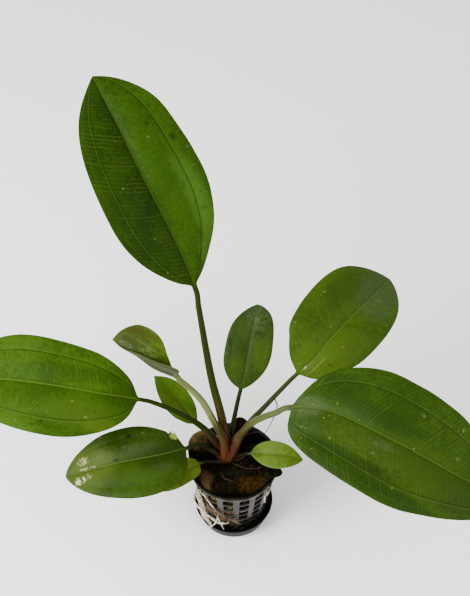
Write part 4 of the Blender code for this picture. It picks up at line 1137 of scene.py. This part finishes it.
CROWN_RED_UP_TO = 17.0
RED_UP_TO = {"leaf_tall": 30.0, "leaf_left": 16.0, "leaf_right": 22.0, "leaf_curled": 22.0}
SHEATH_BRIGHTNESS = {"leaf_tall": 0.75, "leaf_left": 0.45, "leaf_right": 1.0, "leaf_round": 0.15, "leaf_oval": 0.05,
                     "leaf_curled": 0.95, "leaf_low": 0.1, "leaf_small_back": 0.1, "leaf_small_left": 0.0,
                     "leaf_small_right": 0.0}
tilt = np.linspace(0.02, np.pi - 0.02, 40)[:, None]
turn = np.linspace(0, 2 * np.pi, 64, endpoint=False)
ball = np.stack([5.6 * np.sin(tilt) * np.cos(turn), 5.0 * np.sin(tilt) * np.sin(turn),
                 -4.2 * np.cos(tilt) + 0 * turn], -1)
ball += np.array(CROWN_CENTRE)
ball[..., 2] = np.maximum(ball[..., 2], CROWN_SEAT_Z)
skins = [closed_skin(ball * MM)]
across_mm = [np.append(5 * turn + 0 * tilt, [0, 0])]
reach_mm = [np.append(2.0 + 0 * tilt * turn, [2, 2])]
bright = [np.full(across_mm[0].shape, 0.6)]
for name, spec in LEAVES.items():
    rings, across, reach = sheath_rings(Leaf(spec), spec)
    skins.append(closed_skin(rings * MM))
    across_mm.append(np.append(across, [0, 0]))
    stretch = CROWN_RED_UP_TO / RED_UP_TO.get(name, 13.0)
    reach_mm.append(np.append(reach, [0, spec["sheath"]]) * stretch)
    bright.append(np.full(reach_mm[-1].shape, SHEATH_BRIGHTNESS[name]))
crown_mesh = joined("crown", skins)
write_attribute(crown_mesh, "across_mm", np.concatenate(across_mm))
write_attribute(crown_mesh, "reach_mm", np.concatenate(reach_mm))
write_attribute(crown_mesh, "bright", np.concatenate(bright))

skin = Finish("crown_skin", 0.5, 0.1)
bright = skin.read("bright")
skin_colour, skin_lines = stalk_tone(skin, skin.read("across_mm"), skin.read("reach_mm"),
                                     skin.mix(bright, (0.005, 0.008, 0.0006), (0.062, 0.064, 0.012)),
                                     skin.mix(bright, (0.014, 0.019, 0.002), (0.112, 0.11, 0.028)), CROWN_RED_UP_TO)
skin_colour = skin.mix(skin.math("MULTIPLY_ADD", bright, -0.75, 0.75), skin_colour, (0.0045, 0.003, 0.0008))
low_down = skin.step(skin.place_mm()[2], 60.6, 56.2)
skin_colour = skin.mix(low_down, skin_colour, (0.01, 0.0035, 0.001))
skin.set(Base_Color=skin_colour, Normal=skin.bump(skin_lines, 0.0003, 0.8))
skin.set(Subsurface_Weight=0.1, Subsurface_Scale=0.001, Subsurface_Radius=(1.0, 0.4, 0.2))
add_piece("crown_sheaths", crown_mesh, ["crown"], skin.material)

# %% [markdown]
# ### Beads on the crown
#
# Three tiny white beads sit between the stalks at the left. They are short tubes, swollen into balls.

# %% Beads
bead_places = np.array(((-9.15, 7.2, 64.6), (-8.9, 5.6, 64.2), (-9.6, 6.4, 63.9)))
bead_run = np.linspace(-1, 1, 7)[None, :, None] * np.array([0, 0, 0.5])
bead_girth = 0.5 * np.sqrt(1.02 - np.linspace(-1, 1, 7)[None] ** 2) * np.array([[1.0], [0.9], [0.6]])
white = Finish("bead_white", 0.3)
white.set(Base_Color=white.mix(white.noise(3000.0), (0.55, 0.53, 0.44), (0.8, 0.8, 0.74)))
bead_mesh = many_tubes("crown_beads", bead_places[:, None] + bead_run, bead_girth, 10)
add_piece("crown_beads", bead_mesh, ["crown"], white.material)

# %% [markdown]
# ## Roots and the dry strand
#
# A root is a thin round tube along a route beside the pot's wall. The circles of the wool's fibres serve here too.
# Their frame starts from one slanting direction, because no path here runs that way for long.

# %% Tube helper
ROUTE_STEPS = 100


def round_the_pot(azimuth, z, stand_off):
    """Point at a distance from the pot's outer wall, in mm."""
    turn = math.radians(azimuth)
    radius = pot_radius(z) + stand_off
    return (radius * math.sin(turn), -radius * math.cos(turn), z)


def tube_rings(points, radius, steps, sides=12, wander=0.0, seed=0, taper=0.35):
    """Rings of a tube: circles square to the path, thinner towards the end, that wander slightly from it."""
    path, length = smooth_path(points, steps)
    share = np.linspace(0, 1, steps)[:, None]
    path = path + drift(path, 4.0, seed, 100) * wander * np.sin(np.pi * np.clip(share, 0, 1)) ** 0.5
    girth = radius * (1 - taper * share[:, 0]) * (1 + 0.12 * smooth_noise(path, 2.0, seed + 9))
    return circles(path, girth, np.linspace(0, 2 * np.pi, sides, endpoint=False))


ROOTS = {
    "root_upper_left": (0.5, (
        (-50, 45.5, -0.5), (-47, 46.8, 0.9), (-41, 46.3, 0.9), (-37, 43.4, 0.9), (-33, 40.8, 0.9),
        (-29, 37.9, 0.9), (-26.6, 34.6, 0.9), (-26, 31, 0.9),
    )),
    "root_clump": (0.6, (
        (-54, 43.8, -0.5), (-54, 43, 1.2), (-52.5, 36, 1.5), (-50, 30, 1.9), (-47, 26, 2.4),
        (-45, 21, 3.1), (-39, 17.5, 3.1), (-33, 14.8, 3.0),
    )),
    "root_long": (0.5, (
        (-70, 31, -0.5), (-68.5, 31.6, 1.2), (-61, 32.6, 3.6), (-54, 32, 4.6), (-47, 30.5, 4.3),
        (-40, 27.5, 4.0), (-35, 25.2, 3.4), (-31, 22.1, 2.6), (-26.8, 19.7, 2.2), (-22, 18.4, 2.0),
        (-17.3, 19, 2.0), (-11, 20.8, 2.0), (-6.6, 22.3, 1.8),
    )),
    "root_spill": (0.5, (
        (-29, 17.2, -0.5), (-28.5, 17, 0.9), (-28.5, 16.6, 3.0), (-32, 15, 4.6), (-36.5, 12.9, 5.4),
        (-40, 8.5, 6.2),
    )),
    "root_fork": (0.4, (
        (-26, 23.5, -0.5), (-24.5, 23.8, 1.0), (-18.5, 23, 2.8), (-16.6, 21.6, 3.5), (-15.5, 18.1, 3.7),
        (-13.7, 14.7, 3.6),
    )),
    "root_front": (0.4, (
        (-3, 25, -0.5), (-2, 24.8, 0.8), (2.2, 22.4, 0.9), (5.3, 19.7, 1.0), (11.6, 17, 1.2),
    )),
    "root_right": (0.5, (
        (58, 44, -0.5), (56.5, 44.4, 0.9), (51.4, 44.4, 1.0), (47.6, 43.2, 1.0), (46.8, 40.3, 1.0),
        (47.6, 35.9, 1.0), (52, 30, 1.0),
    )),
}

# %% Roots
cream = Finish("root_cream", 0.45, 0.3)
root_tone = cream.noise(420.0, 5.0, 0.6)
cream.set(Base_Color=cream.mix(cream.step(root_tone, 0.34, 0.6), (0.3, 0.2, 0.09), (0.84, 0.77, 0.6)),
          Normal=cream.bump(cream.noise(1400.0, 4.0), 0.0002, 0.8))
cream.set(Subsurface_Weight=0.2, Subsurface_Scale=0.001, Subsurface_Radius=(0.9, 0.7, 0.4))
faded = Finish("root_faded", 0.5, 0.3)
faded.set(Base_Color=faded.mix(faded.noise(500.0, 4.0), (0.02, 0.014, 0.007), (0.24, 0.18, 0.11)))
root_paths = {}
for seed, (name, (radius, points)) in enumerate(ROOTS.items()):
    route = [round_the_pot(*p) for p in points]
    root_paths[name] = smooth_path(route, ROUTE_STEPS)[0]
    slim = {"root_clump": 0.5, "root_upper_left": 0.65}.get(name, 0.85)
    rings = tube_rings(route, slim * radius, 70, wander=0.35, seed=seed * 31 + 1, taper=0.75)
    piece = name.replace("root_", "") + "_root"
    finish = faded.material if name == "root_front" else cream.material
    add_piece(piece, closed_grid(name, rings * MM), [name], finish)

# %% [markdown]
# ### The matted clump
#
# On the left the roots form a thick pale clump. Finer rootlets follow the main roots there. Each takes a stretch
# of one main root, shifted by smooth noise and kept outside the pot's wall.

# %% Rootlets
def rootlets(routes, count, stretch, spread, girth, seed, steps=22):
    """Paths and radii of fine roots beside the given routes, all in mm."""
    rng = np.random.default_rng(seed)
    routes = np.array(routes)
    which = rng.integers(0, len(routes), count)
    length = rng.uniform(*stretch, count)
    start = rng.uniform(0, 1, count) * (1 - length)
    share = start[:, None] + length[:, None] * np.linspace(0, 1, steps)
    at = np.minimum((share * (ROUTE_STEPS - 1)).astype(int), ROUTE_STEPS - 1)
    paths = routes[which[:, None], at]
    apart = paths + 37.0 * np.arange(count)[:, None, None]
    shift = drift(apart, 5.0, seed, 11.0)
    grown = np.linspace(0.3, 1.0, steps)[None, :, None]
    paths = paths + shift * spread * grown + rng.normal(0, 0.5 * spread, (count, 1, 3))
    radius = np.hypot(paths[..., 0], paths[..., 1])
    least = pot_radius(np.clip(paths[..., 2], POT_FOOT_Z, POT_RIM_Z)) + 0.25 + rng.uniform(0, 1.0, (count, 1))
    paths[..., :2] *= (np.maximum(radius, least) / radius)[..., None]
    paths[..., 2] = np.maximum(paths[..., 2], 2.2)
    size = girth * rng.uniform(0.5, 1.2, count)[:, None] * (1 - 0.7 * np.linspace(0, 1, steps))
    return paths, size


def add_tangle(name, finish, node, routes, sides, *measures):
    paths, girth = rootlets(routes, *measures)
    add_piece(name, many_tubes(name, paths, girth, sides), [node], finish.material)


TANGLES = (
    ("clump_rootlets", cream, "root_clump", 6, 62, (0.2, 0.7), 1.5, 0.2, 41),
    ("long_rootlets", cream, "root_long", 6, 14, (0.25, 0.6), 0.7, 0.2, 42),
    ("right_rootlets", cream, "root_right", 6, 8, (0.3, 0.7), 0.7, 0.16, 43),
    ("front_rootlets", faded, "root_front", 5, 5, (0.6, 0.95), 0.9, 0.1, 47),
)
for name, finish, node, sides, *measures in TANGLES:
    add_tangle(name, finish, node, [root_paths[node]], sides, *measures)

# %% Brown rootlets over the slots
OLD_ROUTES = (((-31, 35, 0.4), (-24.6, 31.7, 0.5), (-18.5, 30.8, 0.5), (-11.3, 28.1, 0.5), (-5.3, 28.1, 0.4)),
              ((-29, 29, 0.4), (-22, 27, 0.5), (-15, 25.4, 0.5), (-8, 24, 0.5), (-3, 23, 0.6)),
              ((-36, 38, 0.4), (-31, 35, 0.6), (-26, 31, 0.6), (-20, 28, 0.5)),
              ((-8, 27, 0.5), (-3, 25, 0.6), (2, 24, 0.6), (6, 22, 0.6)))
old_routes = [smooth_path([round_the_pot(*p) for p in points], ROUTE_STEPS)[0] for points in OLD_ROUTES]
brown = Finish("root_brown", 0.6, 0.2)
brown.set(Base_Color=brown.mix(brown.step(brown.noise(450.0, 4.0), 0.4, 0.62), (0.03, 0.016, 0.008), (0.2, 0.125, 0.07)))
add_tangle("brown_rootlets", brown, "root_front", old_routes, 6, 46, (0.4, 0.95), 2.2, 0.19, 53)

# %% Dry strand
STRAND = ((22.2, 22.8, 79), (23.6, 20.9, 76), (23.5, 19.7, 72), (22, 18.6, 66), (20.1, 17.4, 60), (17.6, 17.1, 52.9))
dry = Finish("strand_brown", 0.8, 0.2)
dry.set(Base_Color=dry.mix(dry.noise(700.0), (0.026, 0.01, 0.006), (0.085, 0.048, 0.034)))
strand_rings = tube_rings(STRAND, 0.36, 60, sides=8, wander=0.2, seed=77)
add_piece("strand_dry", closed_grid("dry_strand", strand_rings * MM), ["dry_strand"], dry.material)

# %% [markdown]
# ### Threads on the wool
#
# A few dead threads of the same pinkish brown lie on the wool in front of the crown. Each is one smooth path with
# slight noise.

# %% Threads
THREADS = (((-1, -4, 57.2), (4, -7, 57.0), (9, -8.2, 56.6), (15, -6.8, 55.8)),
           ((1, -3.4, 57.8), (5, -3.0, 59.5), (8, -1.0, 62.0)),
           ((-7, -10, 56.8), (-5, -14, 57.0), (-1, -16, 56.2)), ((2, 9, 58.0), (9, 14, 57.5), (16, 17, 54.5)))
thread_paths = np.array([smooth_path(points, 24)[0] for points in THREADS])
thread_paths += drift(thread_paths, 2.5, 60, 50) * 0.4
thread_mesh = many_tubes("wool_threads", thread_paths, np.full(thread_paths.shape[:2], 0.13), 5)
add_piece("wool_threads", thread_mesh, ["rockwool"], dry.material)
